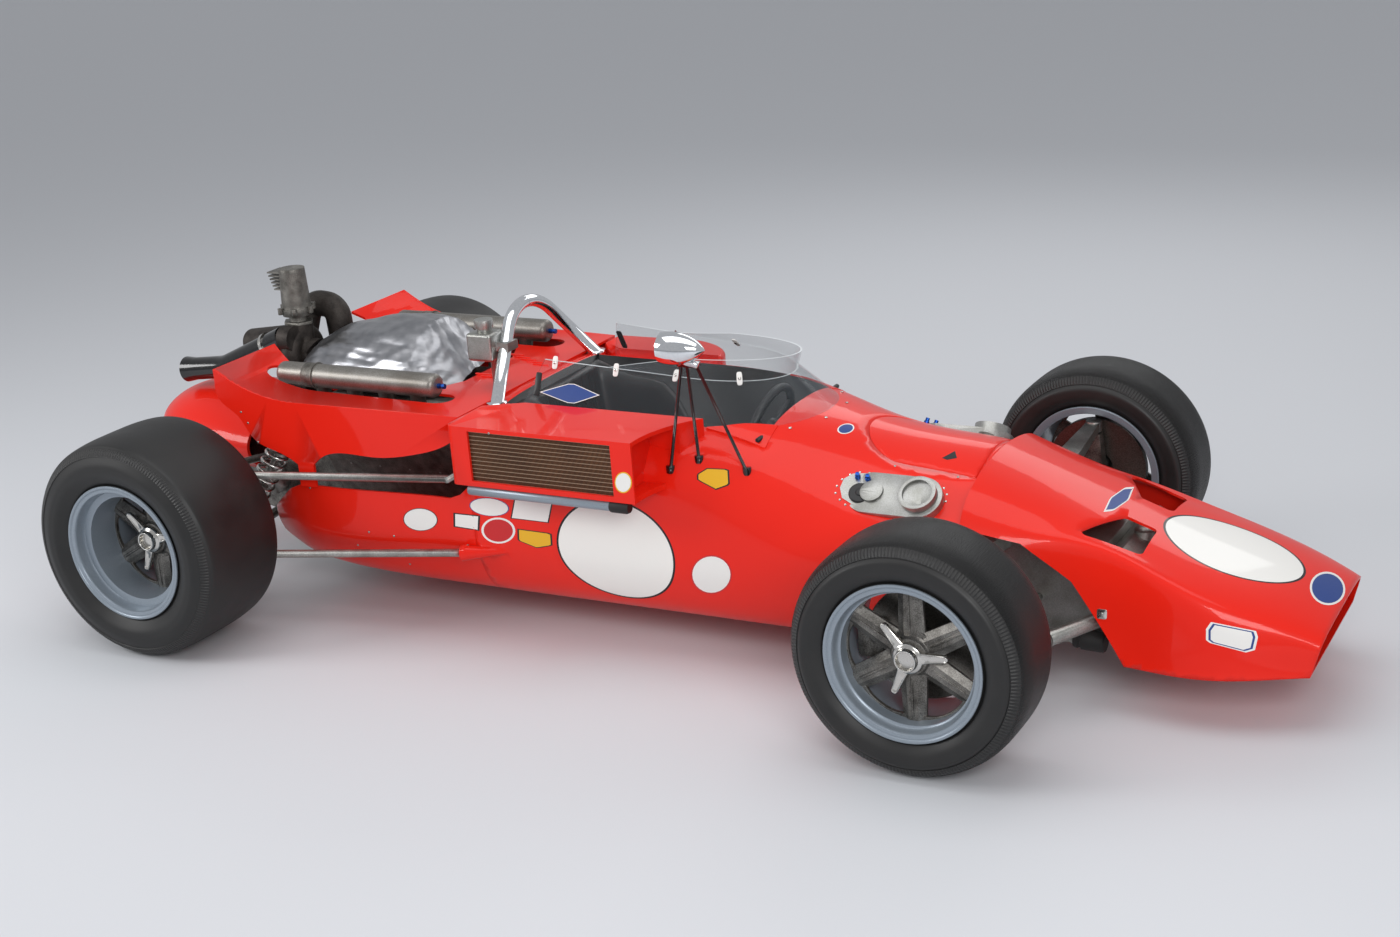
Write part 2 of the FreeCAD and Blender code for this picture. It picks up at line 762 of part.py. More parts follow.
def seat():
    """Padded seat lying back in the cockpit, its back and wings rising to the shoulders."""
    back = COCKPIT_REAR + SEAT_GAP
    low = COCKPIT_FLOOR + SEAT_GAP
    side = [(-900, low), (-1080, low), (-1330, 250), (back, 470), (back, SEAT_TOP - 10),
            (back + 40, SEAT_TOP), (-1345, 652), (-1200, 624), (-1120, 500), (-1040, 300), (-900, 215)]
    scoop = [(-800, 190), (-1075, 213), (-1262, 316), (back + 62, 560), (back + 50, SEAT_TOP + 60),
             (-800, SEAT_TOP + 60)]
    shell = side_prism(side, SEAT_HALF)
    shell = shell.makeFillet(16, [e for e in shell.Edges if abs(e.tangentAt(0).y) < 0.1
                                  and e.BoundBox.ZMin > 290 and e.BoundBox.XMax > back + 45])
    return largest(shell.cut(side_prism(scoop, SEAT_HALF - SEAT_WALL)))


def steering_wheel():
    """Hand wheel and its column, in one."""
    hub = vec(*WHEEL_HUB)
    way = column_way()
    ring = Part.makeTorus(STEERING_R, GRIP_R, hub + way * 12, way)
    boss = Part.makeCylinder(HAND_HUB_R, HAND_HUB_H, hub - way * 14, way)
    column = Part.makeCylinder(COLUMN_R, COLUMN_REACH - 10, hub, way * -1)
    spokes = []
    across = V(0, 1, 0)
    down = way.cross(across)
    for turn in (0, 120, 240):
        angle = math.radians(turn + 90)
        out_way = across * math.cos(angle) + down * math.sin(angle)
        spokes.append(Part.makeCylinder(8, STEERING_R, hub + way * 4, out_way + way * 0.05))
    return join([ring, boss, column] + spokes)


def dash_panel():
    """Plate across the cockpit with the bearing of the column."""
    half = COCKPIT_HALF - SEAT_GAP
    plate = box(DASH_X, DASH_X + DASH_THICK, -half, half, DASH_LOW, DASH_TOP)
    roll = rod((DASH_X + DASH_THICK / 2, -half, DASH_TOP), (DASH_X + DASH_THICK / 2, half, DASH_TOP), 7)
    hub = vec(*WHEEL_HUB)
    way = column_way() * -1
    reach = (DASH_X - WHEEL_HUB[0]) / way.x
    boss = Part.makeCylinder(COLUMN_R + 12, 50, hub + way * (reach - 25), way)
    return join([plate, roll, boss]).cut(column_bore(COLUMN_R + SEAT_GAP))


def mirror():
    """Teardrop shell with its glass side open to the rear, on three struts."""
    profile = [(MIRROR_BACK, 0), (MIRROR_BACK, MIRROR_R - 3), (MIRROR_BACK + 30, MIRROR_R),
               (MIRROR_BACK + 75, MIRROR_R - 7), (MIRROR_TIP - 14, 15), (MIRROR_TIP, 0)]
    line = [vec(x, 0, r) for x, r in profile[1:]]
    curve = Part.BSplineCurve()
    curve.interpolate(line)
    a = vec(MIRROR_BACK, 0, 0)
    face = Part.Face(Part.Wire([Part.LineSegment(a, line[0]).toShape(), curve.toShape(),
                                Part.LineSegment(line[-1], a).toShape()]))
    shell = face.revolve(ORIGIN, X_AXIS, 360)
    recess = rod((MIRROR_BACK - 5, 0, 0), (MIRROR_BACK + 6, 0, 0), MIRROR_R - 7)
    shell = shell.cut(recess).translated(vec(0, MIRROR_Y, MIRROR_Z))
    x0 = MIRROR_FEET[0][1]
    x1 = MIRROR_FEET[-1][1]
    plate = box(x0 - 6, x1 + 6, MIRROR_Y - 12, MIRROR_Y + 12, MIRROR_PLATE_Z - 2,
                MIRROR_PLATE_Z + 12)
    parts = [shell, plate]
    for (fx, fy), top_x in MIRROR_FEET:
        foot = hull_top(fx, fy)
        parts.append(rod((fx, fy, foot - 6), (top_x, MIRROR_Y, MIRROR_PLATE_Z), STRUT_R))
        parts.append(rod((fx, fy, foot - 12), (fx, fy, foot + 8), 12))
    return largest(join(parts).cut(off_hull()))


def filler(side):
    """Plate with two caps on the shoulder of the tub, made flat and then tilted."""
    x0, x1 = FILLER_X
    r = FILLER_HALF_W
    top = FILLER_PLATE
    plate = join([box(x0 + r, x1 - r, -r, r, -20, top), rod((x0 + r, 0, -20), (x0 + r, 0, top), r),
                  rod((x1 - r, 0, -20), (x1 - r, 0, top), r)])
    big = tube((x1 - r, 0, top), (x1 - r, 0, top + 23), BIG_CAP_R, 12)
    big_lid = rod((x1 - r, 0, top), (x1 - r, 0, top + 11), BIG_CAP_R - 10)
    small = rod((x0 + r + 8, 0, top), (x0 + r + 8, 0, top + 9), SMALL_CAP_R)
    whole = join([plate, big, big_lid, small])
    whole = whole.translated(vec(0, 0, 2))
    whole.rotate(ORIGIN, X_AXIS, -FILLER_TILT)
    whole.translate(vec(0, FILLER_Y, FILLER_Z))
    whole = largest(whole.cut(off_hull()))
    return whole if side > 0 else mirrored(whole)


def pod_plan(grow=0.0):
    """Outline of the pod from above, with a hollow curve at its front."""
    outer = POD_OUTER + grow
    a = vec(POD_REAR + 22, outer, 0)
    b = vec(POD_FRONT - 60, outer, 0)
    c = vec(POD_FRONT + 30, POD_INNER, 0)
    d = vec(POD_REAR + 110, POD_INNER, 0)
    e = vec(POD_REAR, POD_INNER + 60, 0)
    f = vec(POD_REAR, outer - 22, 0)
    corner = vec(POD_REAR + 22 * (1 - math.sqrt(0.5)), outer - 22 * (1 - math.sqrt(0.5)), 0)
    hollow = vec(POD_FRONT - 44, (POD_OUTER + POD_INNER) / 2, 0)
    return [Part.LineSegment(a, b).toShape(), Part.Arc(b, hollow, c).toShape(),
            Part.LineSegment(c, d).toShape(), Part.LineSegment(d, e).toShape(),
            Part.LineSegment(e, f).toShape(), Part.Arc(f, corner, a).toShape()]


def radiator_pod():
    """Side pod: flat topped, open at its outer face for the core and at the front."""
    body = Part.Face(Part.Wire(pod_plan())).extrude(vec(0, 0, POD_TOP - POD_LOW))
    body = body.translated(vec(0, 0, POD_LOW)).cut(off_hull())
    room = box(CORE_REAR, CORE_FRONT, POD_OUTER - CORE_ROOM, POD_OUTER + 10, CORE_LOW, CORE_TOP)
    intake = box(POD_FRONT - POD_INTAKE_DEPTH, POD_FRONT + 60, POD_INNER + 60,
                 POD_OUTER - POD_WALL, CORE_LOW, CORE_TOP)
    intake = intake.makeFillet(14, [e for e in intake.Edges if abs(e.tangentAt(0).x) > 0.9])
    return largest(body).cut(room).cut(intake)


def radiator_core():
    """Core with its end tanks, set a little into the pod's side."""
    outer = POD_OUTER - CORE_SET_IN
    return box(CORE_REAR + SEAT_GAP, CORE_FRONT - SEAT_GAP, outer - CORE_THICK, outer,
               CORE_LOW + SEAT_GAP, CORE_TOP - SEAT_GAP)


def coolant_pipe():
    """Pipe under the pod with an elbow into the body at each end."""
    y = POD_OUTER - PIPE_SET_IN
    z = POD_LOW - PIPE_R - SEAT_GAP
    rear = POD_REAR + 25
    front = CORE_FRONT + 30
    pipe = bent_rod([(rear, 380, z), (rear, y, z), (front, y, z), (front, 380, z)], PIPE_BEND, PIPE_R)
    return largest(pipe.cut(off_hull()))


def shoulder_fairing():
    """Flat topped fairing over the left shoulder, rounded off in front."""
    clear = SHOULDER_REAR + HOOP_PAD_R * 3
    a = vec(SHOULDER_REAR, SHOULDER_OUTER - 4, 0)
    b = vec(SHOULDER_TURN, SHOULDER_OUTER, 0)
    c = vec(SHOULDER_FRONT, SHOULDER_INNER, 0)
    d = vec(clear, SHOULDER_INNER, 0)
    e = vec(SHOULDER_REAR, SHOULDER_INNER + HOOP_PAD_R * 2, 0)
    nose = Part.BSplineCurve()
    nose.interpolate([b, vec(SHOULDER_TURN + 85, SHOULDER_OUTER - 38, 0),
                      vec(SHOULDER_FRONT - 22, SHOULDER_INNER + 62, 0), c])
    plan = Part.Wire([Part.LineSegment(a, b).toShape(), nose.toShape(), Part.LineSegment(c, d).toShape(),
                      Part.LineSegment(d, e).toShape(), Part.LineSegment(e, a).toShape()])
    block = Part.Face(plan).extrude(vec(0, 0, POD_TOP - SHOULDER_LOW))
    rim = [e for e in block.Edges if e.BoundBox.ZMin > POD_TOP - SHOULDER_LOW - 1
           and e.BoundBox.YMax > SHOULDER_OUTER - 5]
    block = block.makeFillet(SHOULDER_FILLET, rim)
    return largest(block.translated(vec(0, 0, SHOULDER_LOW)).cut(off_hull()))


def bay_panels():
    """Lower body round the engine: floor and sides up to the sill, open on top and behind."""
    shell = hull_loft(BAY_STATIONS).cut(hull_loft(BAY_STATIONS, SKIN))
    sides = [(x - SEAT_GAP if x == TUB_REAR else x, z) for x, z in BAY_SIDE]
    shell = shell.common(side_prism(sides, 600))
    return largest(shell)


def cover_side():
    """Side of the upper body with its curved lower edge and the pillar down to the sill."""
    front = TUB_REAR - SEAT_GAP
    rear_pillar, front_pillar = min(COVER_PILLAR), max(COVER_PILLAR)
    low = [vec(-2338, 0, 677), vec(-2297, 0, 648), vec(-2245, 0, 575), vec(-2165, 0, 540),
           vec(rear_pillar, 0, 505)]
    back = Part.BSplineCurve()
    back.interpolate([vec(COVER_TIP, 0, 745)] + low)
    foot_rear = vec(rear_pillar, 0, 437 + SEAT_GAP)
    foot_front = vec(front_pillar, 0, 437 + SEAT_GAP)
    sweep = Part.BSplineCurve()
    sweep.interpolate([vec(front_pillar, 0, 505), vec(-1992, 0, 541), vec(-1822, 0, 548),
                       vec(-1680, 0, 566), vec(-1580, 0, 596), vec(front, 0, 640)])
    top = cover_edge(0, 0)
    a = vec(front, 0, 640)
    b = vec(front, 0, COVER_TOP)
    c = vec(COVER_TIP, 0, COVER_TIP_Z)
    d = vec(COVER_TIP, 0, 745)
    edges = [back.toShape(), Part.LineSegment(low[-1], foot_rear).toShape(),
             Part.LineSegment(foot_rear, foot_front).toShape(),
             Part.LineSegment(foot_front, vec(front_pillar, 0, 505)).toShape(), sweep.toShape(),
             Part.LineSegment(a, b).toShape(), Part.LineSegment(c, d).toShape()] + top.Edges
    panel = Part.Face(Part.Wire(Part.__sortEdges__(edges))).extrude(vec(0, COVER_SKIN + 2, 0))
    panel.translate(vec(0, COVER_SIDE_Y, 0))
    panel.rotate(vec(front, COVER_SIDE_Y, 0), Z_AXIS, -COVER_FLARE)
    return panel


def cover_edge(y, drop):
    """Top line of the upper body: level, then kicked up to the tail through one arc."""
    front = (TUB_REAR - SEAT_GAP, y, COVER_TOP - drop)
    knee = (COVER_KNEE_X, y, COVER_TOP + COVER_RISE - drop)
    return bent_wire([front, knee, (COVER_TIP, y, COVER_TIP_Z - drop)], COVER_BEND)


def cover_sheet():
    """Top skin of the upper body across its whole width."""
    top = cover_edge(-520, 0)
    under = cover_edge(-520, COVER_SKIN)
    ends = []
    for i in (0, -1):
        ends.append(Part.LineSegment(top.OrderedVertexes[i].Point,
                                     under.OrderedVertexes[i].Point).toShape())
    wire = Part.Wire(Part.__sortEdges__(top.Edges + under.Edges + ends))
    return Part.Face(wire).extrude(vec(0, 1040, 0))


def engine_cover():
    """Upper body beside the engine on both sides, joined behind the roll hoop."""
    flare = math.tan(math.radians(COVER_FLARE)) * (TUB_REAR - COVER_TIP)
    outer = COVER_SIDE_Y + COVER_SKIN
    plan = [(TUB_REAR, -outer), (TUB_REAR, outer), (COVER_TIP - 5, outer + flare),
            (COVER_TIP - 5, -outer - flare)]
    deck = cover_sheet().common(plan_prism(plan, 500, 900))
    opening = [(COVER_OPEN_FRONT, 130), (COVER_OPEN_FRONT - 50, COVER_OPEN_HALF),
               (COVER_TIP + 90, COVER_OPEN_HALF), (COVER_TIP - 20, COVER_OPEN_HALF - 46)]
    opening = opening + [(x, -y) for x, y in reversed(opening)]
    deck = deck.cut(plan_prism(opening, 500, 900))
    slot = plenum_slot()
    side = cover_side()
    return largest(join([deck, side, mirrored(side)]).cut(slot).cut(mirrored(slot)))


def plenum_slot():
    """Long hole with round ends round the plenum."""
    x0, x1 = PLENUM_X
    r = PLENUM_SLOT_R
    low = COVER_TOP - 60
    high = COVER_TOP + 90
    return join([box(x0, x1, PLENUM_Y - r, PLENUM_Y + r, low, high),
                 rod((x0, PLENUM_Y, low), (x0, PLENUM_Y, high), r),
                 rod((x1, PLENUM_Y, low), (x1, PLENUM_Y, high), r)])


def engine_block():
    """The closed engine as one plain vee block with a sump."""
    outline = [(-150, 150), (150, 150), (190, 330), (300, 560), (180, ENGINE_TOP),
               (-180, ENGINE_TOP), (-300, 560), (-190, 330)]
    front = TUB_REAR - SEAT_GAP
    return prism([(ENGINE_REAR, y, z) for y, z in outline], (front - ENGINE_REAR, 0, 0))


def gearbox():
    """Gear case behind the engine, narrowing to the tail, with a final drive bulge."""
    case = loft_boxes([block_ring(ENGINE_REAR - SEAT_GAP, GEARBOX_HALF, 160, 430),
                       block_ring(GEARBOX_REAR, GEARBOX_END_HALF, 220, 400)])
    drive = rod((REAR_AXLE, -GEARBOX_HALF, AXLE_Z_REAR - 20),
                (REAR_AXLE, GEARBOX_HALF, AXLE_Z_REAR - 20), 80)
    return join([case, drive])


def plenum():
    """Intake plenum along one bank with its runners down to the heads."""
    body = rod((PLENUM_X[0], PLENUM_Y, PLENUM_Z), (PLENUM_X[1], PLENUM_Y, PLENUM_Z), PLENUM_R)
    body = body.makeFillet(PLENUM_END_FILLET, [e for e in body.Edges if isinstance(e.Curve, Part.Circle)])
    runners = []
    step = (PLENUM_X[1] - PLENUM_X[0]) / (RUNNERS + 1)
    for i in range(RUNNERS):
        x = PLENUM_X[0] + step * (i + 1.25)
        runners.append(rod((x, PLENUM_Y, PLENUM_Z), (x, PLENUM_Y - 38, 570), RUNNER_R))
    return largest(join([body] + runners).cut(engine_block()))


def foil_blanket():
    """Heat blanket over the middle of the engine, as a closed hump."""
    low = ENGINE_TOP + SEAT_GAP
    wires = []
    for x, half, high in BLANKET_STATIONS:
        points = [vec(x, half * math.cos(a), low + (high - low) * math.sin(a))
                  for a in [math.pi * i / 8 for i in range(9)]]
        curve = Part.BSplineCurve()
        curve.interpolate(points)
        floor = Part.LineSegment(points[-1], points[0]).toShape()
        wires.append(Part.Wire([curve.toShape(), floor]))
    return Part.makeLoft(wires, True, False)


def turbocharger():
    """Turbocharger on its stand above the gear case, with the dark inlet elbow."""
    scroll = Part.makeTorus(SCROLL_R, SCROLL_TUBE_R, vec(TURBO_X, 0, TURBO_Z), X_AXIS)
    core = rod((TURBO_X - 70, 0, TURBO_Z), (TURBO_X + 80, 0, TURBO_Z), 48)
    stand = box(TURBO_X - 40, TURBO_X + 40, -60, 60, 350, TURBO_Z - 40)
    housing = rod((TURBO_X, 0, TURBO_Z), (TURBO_X, 0, HOUSING_TOP), HOUSING_R)
    x, y, z = EXHAUST_PATH[0]
    outlet = rod((x + HOUSING_R, y, z), (x, y, z), EXHAUST_R + EXHAUST_WALL)
    elbow = bent_rod(ELBOW_PATH, ELBOW_BEND, ELBOW_R)
    drum = rod(*DRUM_PATH, DRUM_R)
    far_edges = [e for e in drum.Edges if e.BoundBox.XMax < DRUM_PATH[1][0] + 20]
    drum = drum.makeFillet(SCROLL_TUBE_R / 2, far_edges)
    whole = join([scroll, core, stand, housing, outlet, elbow, drum])
    return largest(whole.cut(gearbox()).cut(foil_blanket()))


def wastegate(turbo):
    """Tapering valve body with fins on its rear side, on a lobed flange and a bolted neck."""
    x = TURBO_X
    low, high = WASTEGATE_Z
    foot = HOUSING_TOP + SEAT_GAP
    parts = [cone((x, 0, low), (x, 0, high), WASTEGATE_LOW_R, WASTEGATE_TOP_R),
             rod((x, 0, low - 12), (x, 0, low), WASTEGATE_FLANGE_R - 4),
             rod((x, 0, low - 24), (x, 0, low - 12), WASTEGATE_LOW_R),
             rod((x, 0, foot), (x, 0, low - 20), WASTEGATE_NECK_R),
             plan_prism([(x + px, py) for px, py in WASTEGATE_FOOT], foot, foot + WASTEGATE_FOOT_H)]
    for i in range(WASTEGATE_LOBES):
        turn = 2 * math.pi * i / WASTEGATE_LOBES
        lx = x + WASTEGATE_FLANGE_R * math.cos(turn)
        ly = WASTEGATE_FLANGE_R * math.sin(turn)
        parts.append(rod((lx, ly, low - 15), (lx, ly, low + 5), WASTEGATE_LOBE_R))
    pitch = (high - low) * 0.5 / WASTEGATE_FINS
    for i in range(WASTEGATE_FINS):
        z = high - 14 - i * pitch
        reach = WASTEGATE_TOP_R + WASTEGATE_FIN_REACH * (1 - 0.7 * i / WASTEGATE_FINS)
        parts.append(box(x - reach, x, -WASTEGATE_TOP_R * 0.8, WASTEGATE_TOP_R * 0.8, z, z + pitch * 0.42))
    return largest(join(parts).cut(turbo))


def exhaust_pipe(turbo, gate):
    """Black tail pipe with a flared open end."""
    pipe = bent_rod(EXHAUST_PATH, EXHAUST_BEND, EXHAUST_R)
    end = vec(*EXHAUST_PATH[-1])
    before = vec(*EXHAUST_PATH[-2])
    way = (end - before).normalize()
    flare = Part.makeCone(EXHAUST_R, TRUMPET_R, 40, end - way * 20, way)
    hollow = Part.makeCone(EXHAUST_R - EXHAUST_WALL, TRUMPET_R - EXHAUST_WALL, 40.1, end - way * 20, way)
    deep = Part.makeCylinder(EXHAUST_R - EXHAUST_WALL, 140, end - way * 155, way)
    whole = join([pipe, flare]).cut(hollow).cut(deep)
    return largest(whole.cut(turbo).cut(gate))


def tail_loft(wall=0.0):
    """Solid through oval sections, taken in by the wall; its end is kept shut."""
    wires = []
    for x, half, low, high in TAIL_STATIONS:
        x = x + wall if x == TAIL_TIP else x
        centre = vec(x, 0, (high + low) / 2)
        ring = Part.Ellipse(centre + vec(0, half - wall, 0),
                            centre + vec(0, 0, (high - low) / 2 - wall), centre)
        wires.append(Part.Wire(ring.toShape()))
    return Part.makeLoft(wires, True, False)


def tail_fairing():
    """Rounded red cowl round the end of the gear case, open at the front."""
    shell = tail_loft().cut(tail_loft(TAIL_WALL))
    return largest(shell.cut(gearbox()))


def front_arms():
    """Upper rocker arm, lower link and drag link of one side."""
    top = UPPER_BALL_Z + RUNNING_GAP
    low = LOWER_BALL_Z - RUNNING_GAP
    eye_top = rod((0, KINGPIN_Y, top), (0, KINGPIN_Y, top + EYE_H), EYE_R)
    root = block_arm_ring(ARM_ROOT_Y - 20, 44, 380, 425)
    tip = block_arm_ring(KINGPIN_Y - EYE_R / 2, 20, top + 2, top + EYE_H - 4)
    upper = loft_boxes([root, tip])
    eye_low = rod((0, KINGPIN_Y, low - EYE_H), (0, KINGPIN_Y, low), EYE_R)
    lower = rod((-30, ARM_ROOT_Y - 20, 190), (0, KINGPIN_Y, low - EYE_H / 2), LOWER_LINK_R - 4)
    drag_root = (DRAG_X, TANK_HALF - 10, DRAG_Z)
    ball = (0, KINGPIN_Y, low - EYE_H / 2)
    drag = rod(drag_root, ball, LOWER_LINK_R - 5)
    sleeve = rod(between(drag_root, ball, 0.06), between(drag_root, ball, 0.4), SLEEVE_R - 2)
    pin = rod((0, KINGPIN_Y, 0), (0, KINGPIN_Y, 600), PIN_R + SEAT_GAP)
    inboard = box(SEAM_X - 200, BULKHEAD_FRONT, -ARM_ROOT_Y, ARM_ROOT_Y, 0, 600)
    tank = box(BULKHEAD_FRONT, TANK_FRONT + 50, -TANK_HALF - SEAT_GAP, TANK_HALF + SEAT_GAP, 0, 600)
    return Part.makeCompound([join([upper, eye_top]).cut(pin).cut(inboard),
                              join([lower, drag, sleeve, eye_low]).cut(pin).cut(inboard).cut(tank)])


def block_arm_ring(y, half, low, high):
    """Rectangle along the car at one distance from its middle."""
    return [(-half, y, low), (half, y, low), (half, y, high), (-half, y, high)]


def front_knuckle():
    """Upright with its kingpins, stub axle, steering arm and brake caliper."""
    upright = loft_boxes([
        [(-26, KINGPIN_Y - 20, LOWER_BALL_Z), (26, KINGPIN_Y - 20, LOWER_BALL_Z),
         (26, KINGPIN_Y + 20, LOWER_BALL_Z), (-26, KINGPIN_Y + 20, LOWER_BALL_Z)],
        [(-UPRIGHT_DEEP, KINGPIN_Y - UPRIGHT_HALF, AXLE_Z_FRONT),
         (UPRIGHT_DEEP, KINGPIN_Y - UPRIGHT_HALF, AXLE_Z_FRONT),
         (UPRIGHT_DEEP, KINGPIN_Y + UPRIGHT_HALF, AXLE_Z_FRONT),
         (-UPRIGHT_DEEP, KINGPIN_Y + UPRIGHT_HALF, AXLE_Z_FRONT)],
        [(-22, KINGPIN_Y - 18, UPPER_BALL_Z), (22, KINGPIN_Y - 18, UPPER_BALL_Z),
         (22, KINGPIN_Y + 18, UPPER_BALL_Z), (-22, KINGPIN_Y + 18, UPPER_BALL_Z)]])
    stub = rod((0, KINGPIN_Y, AXLE_Z_FRONT), (0, spider_face(FRONT_WHEEL_Y, FRONT_RIM_W, FRONT_DISH),
                                              AXLE_Z_FRONT), STUB_R)
    pins = rod((0, KINGPIN_Y, LOWER_BALL_Z - RUNNING_GAP - EYE_H),
               (0, KINGPIN_Y, UPPER_BALL_Z + RUNNING_GAP + EYE_H), PIN_R)
    arm = box(0, TIE_X + 12, KINGPIN_Y - 10, KINGPIN_Y + 10, TIE_Z + 20, TIE_Z + 36)
    post = rod((TIE_X, KINGPIN_Y, TIE_Z - 14), (TIE_X, KINGPIN_Y, TIE_Z + 22), TIE_PIN_R)
    caliper = brake_caliper(0, AXLE_Z_FRONT, KINGPIN_Y + UPRIGHT_HALF, FRONT_DISC_R)
    return join([upright, stub, pins, arm, post, caliper])


def brake_caliper(x, z, disc_side, disc_r):
    """Block over the rear edge of the brake disc, with a lug back to the upright."""
    inner = disc_side + RUNNING_GAP
    outer = inner + DISC_THICK
    near = box(x - disc_r - 14, x - disc_r + 52, inner - 26, outer + 26, z - CALIPER_HALF,
               z + CALIPER_HALF)
    near = near.makeFillet(10, [e for e in near.Edges if abs(e.tangentAt(0).y) > 0.9])
    slot = box(x - disc_r - RUNNING_GAP, x, inner - RUNNING_GAP, outer + RUNNING_GAP,
               z - CALIPER_HALF - 5, z + CALIPER_HALF + 5)
    lug = box(x - disc_r + 40, x, disc_side - 26, disc_side - 4, z - 26, z + 26)
    return join([near.cut(slot), lug])


def spider_face(middle, width, dish):
    """Outer face of the wheel's centre."""
    return middle + width / 2 - dish


def rim_profile(width, dish, step):
    """Half section of the rim: along the axle from its middle, then radius."""
    w = width / 2
    depth, radius = step
    bed = BEAD_R - RIM_WALL
    back = w - dish - SPIDER_THICK - 14
    return [(w, RIM_LIP_R - 2), (w - 4, RIM_LIP_R - 9), (w - 10, bed), (w - depth + 8, bed - 3),
            (w - depth, radius), (back, radius), (-w + 44, bed - 4), (-w + 6, bed), (-w, RIM_LIP_R - 5),
            (-w + 2, RIM_LIP_R), (-w + 8, RIM_LIP_R), (-w + 10, BEAD_R), (-w + 42, BEAD_R),
            (-w + 50, BEAD_R - 4), (back - 6, radius + RIM_WALL), (w - depth - 6, radius + RIM_WALL),
            (w - depth, BEAD_R - 4), (w - 12, BEAD_R), (w - 8, RIM_LIP_R), (w - 2, RIM_LIP_R)]


def revolve_wheel(profile):
    points = [vec(0, y, r) for y, r in profile]
    face = Part.Face(Part.makePolygon(points + [points[0]]))
    return face.revolve(ORIGIN, Y_AXIS, 360)


def wheel(width, dish, step, hub_in):
    """Rim with a six spoked centre and its hub, round the origin; hub_in is the hub's inner end."""
    face = width / 2 - dish
    ring = revolve_wheel(rim_profile(width, dish, step))
    hub = rod((0, hub_in, 0), (0, face + HUB_BOSS, 0), HUB_R)
    parts = [ring, hub]
    reach = step[1] + RIM_WALL / 2
    for i in range(SPOKES):
        spoke = prism([(-SPOKE_ROOT_W / 2, face, HUB_R * 0.6), (SPOKE_ROOT_W / 2, face, HUB_R * 0.6),
                       (SPOKE_TIP_W / 2, face, reach), (-SPOKE_TIP_W / 2, face, reach)],
                      (0, -SPIDER_THICK, 0))
        rib = prism([(-SPOKE_RIB_W / 2, face - 2, HUB_R * 0.6), (SPOKE_RIB_W / 2, face - 2, HUB_R * 0.6),
                     (SPOKE_RIB_W / 2, face - 2, reach), (-SPOKE_RIB_W / 2, face - 2, reach)],
                    (0, SPOKE_RIB_H + 2, 0))
        for piece in (spoke, rib):
            piece.rotate(ORIGIN, Y_AXIS, 360.0 * i / SPOKES)
            parts.append(piece)
    whole = join(parts)
    return whole.cut(rod((0, hub_in - 10, 0), (0, face + 40, 0), HUB_BORE_R))


def brake_disc(radius):
    """Flat ring on the hub, its inner face at the origin."""
    return rod((0, 0, 0), (0, DISC_THICK, 0), radius).cut(
        rod((0, -1, 0), (0, DISC_THICK + 1, 0), HUB_R + SEAT_GAP))


def tyre(width, rim_width, radius):
    """Carcass ring open to the rim: bead, sidewall, shoulder and crown."""
    w = width / 2
    b = rim_width / 2 - 13
    bulge = RIM_LIP_R + (radius - RIM_LIP_R) * 0.42
    outer = [(b, BEAD_R + SEAT_GAP), (b, RIM_LIP_R + 4), (w, bulge), (w - 12, radius - 26),
             (w - 34, radius - 8), (w * 0.45, radius - 1), (0, radius)]
    inner = [(b - TYRE_WALL, BEAD_R + SEAT_GAP), (w - TYRE_WALL, bulge),
             (w - 40, radius - TREAD_WALL - 8), (0, radius - TREAD_WALL)]
    right = outer[:-1] + [outer[-1]] + [(-y, r) for y, r in reversed(outer[:-1])]
    left = [(-y, r) for y, r in inner[:-1]] + [inner[-1]] + [(y, r) for y, r in reversed(inner[:-1])]
    return revolve_wheel(right + left)


def knock_off():
    """Three eared nut on the end of the hub."""
    body = rod((0, 0, 0), (0, NUT_LENGTH, 0), NUT_R)
    ears = []
    for i in range(NUT_EARS):
        ear = prism([(-11, 4, 0), (11, 4, 0), (8, 4, EAR_REACH), (-8, 4, EAR_REACH)], (0, EAR_THICK, 0))
        ear.rotate(ORIGIN, Y_AXIS, 360.0 * i / NUT_EARS)
        ears.append(ear)
    return join([body] + ears).cut(rod((0, NUT_LENGTH - 12, 0), (0, NUT_LENGTH + 1, 0), NUT_BORE_R))


def rear_upright():
    """Upright with its lugs for the links, the stub axle and the brake caliper."""
    inner = REAR_HUB_Y - REAR_UPRIGHT_THICK
    low, high = REAR_UPRIGHT_Z
    block = box(REAR_AXLE - REAR_UPRIGHT_HALF, REAR_AXLE + REAR_UPRIGHT_HALF, inner, REAR_HUB_Y, low, high)
    block = block.makeFillet(24, [e for e in block.Edges if abs(e.tangentAt(0).y) > 0.9])
    face = spider_face(REAR_WHEEL_Y, REAR_RIM_W, REAR_DISH)
    stub = rod((REAR_AXLE, REAR_HUB_Y - 5, AXLE_Z_REAR), (REAR_AXLE, face, AXLE_Z_REAR), STUB_R)
    top_lug = box(REAR_AXLE - 30, REAR_AXLE + REAR_UPRIGHT_HALF, LUG_Y, inner + 5, high - 55, high - 15)
    low_lug = box(REAR_AXLE - 30, REAR_AXLE + REAR_UPRIGHT_HALF, LUG_Y, inner + 5, low + 5, low + 45)
    caliper = brake_caliper(REAR_AXLE, AXLE_Z_REAR, REAR_HUB_Y, REAR_DISC_R)
    return join([block, stub, top_lug, low_lug, caliper])


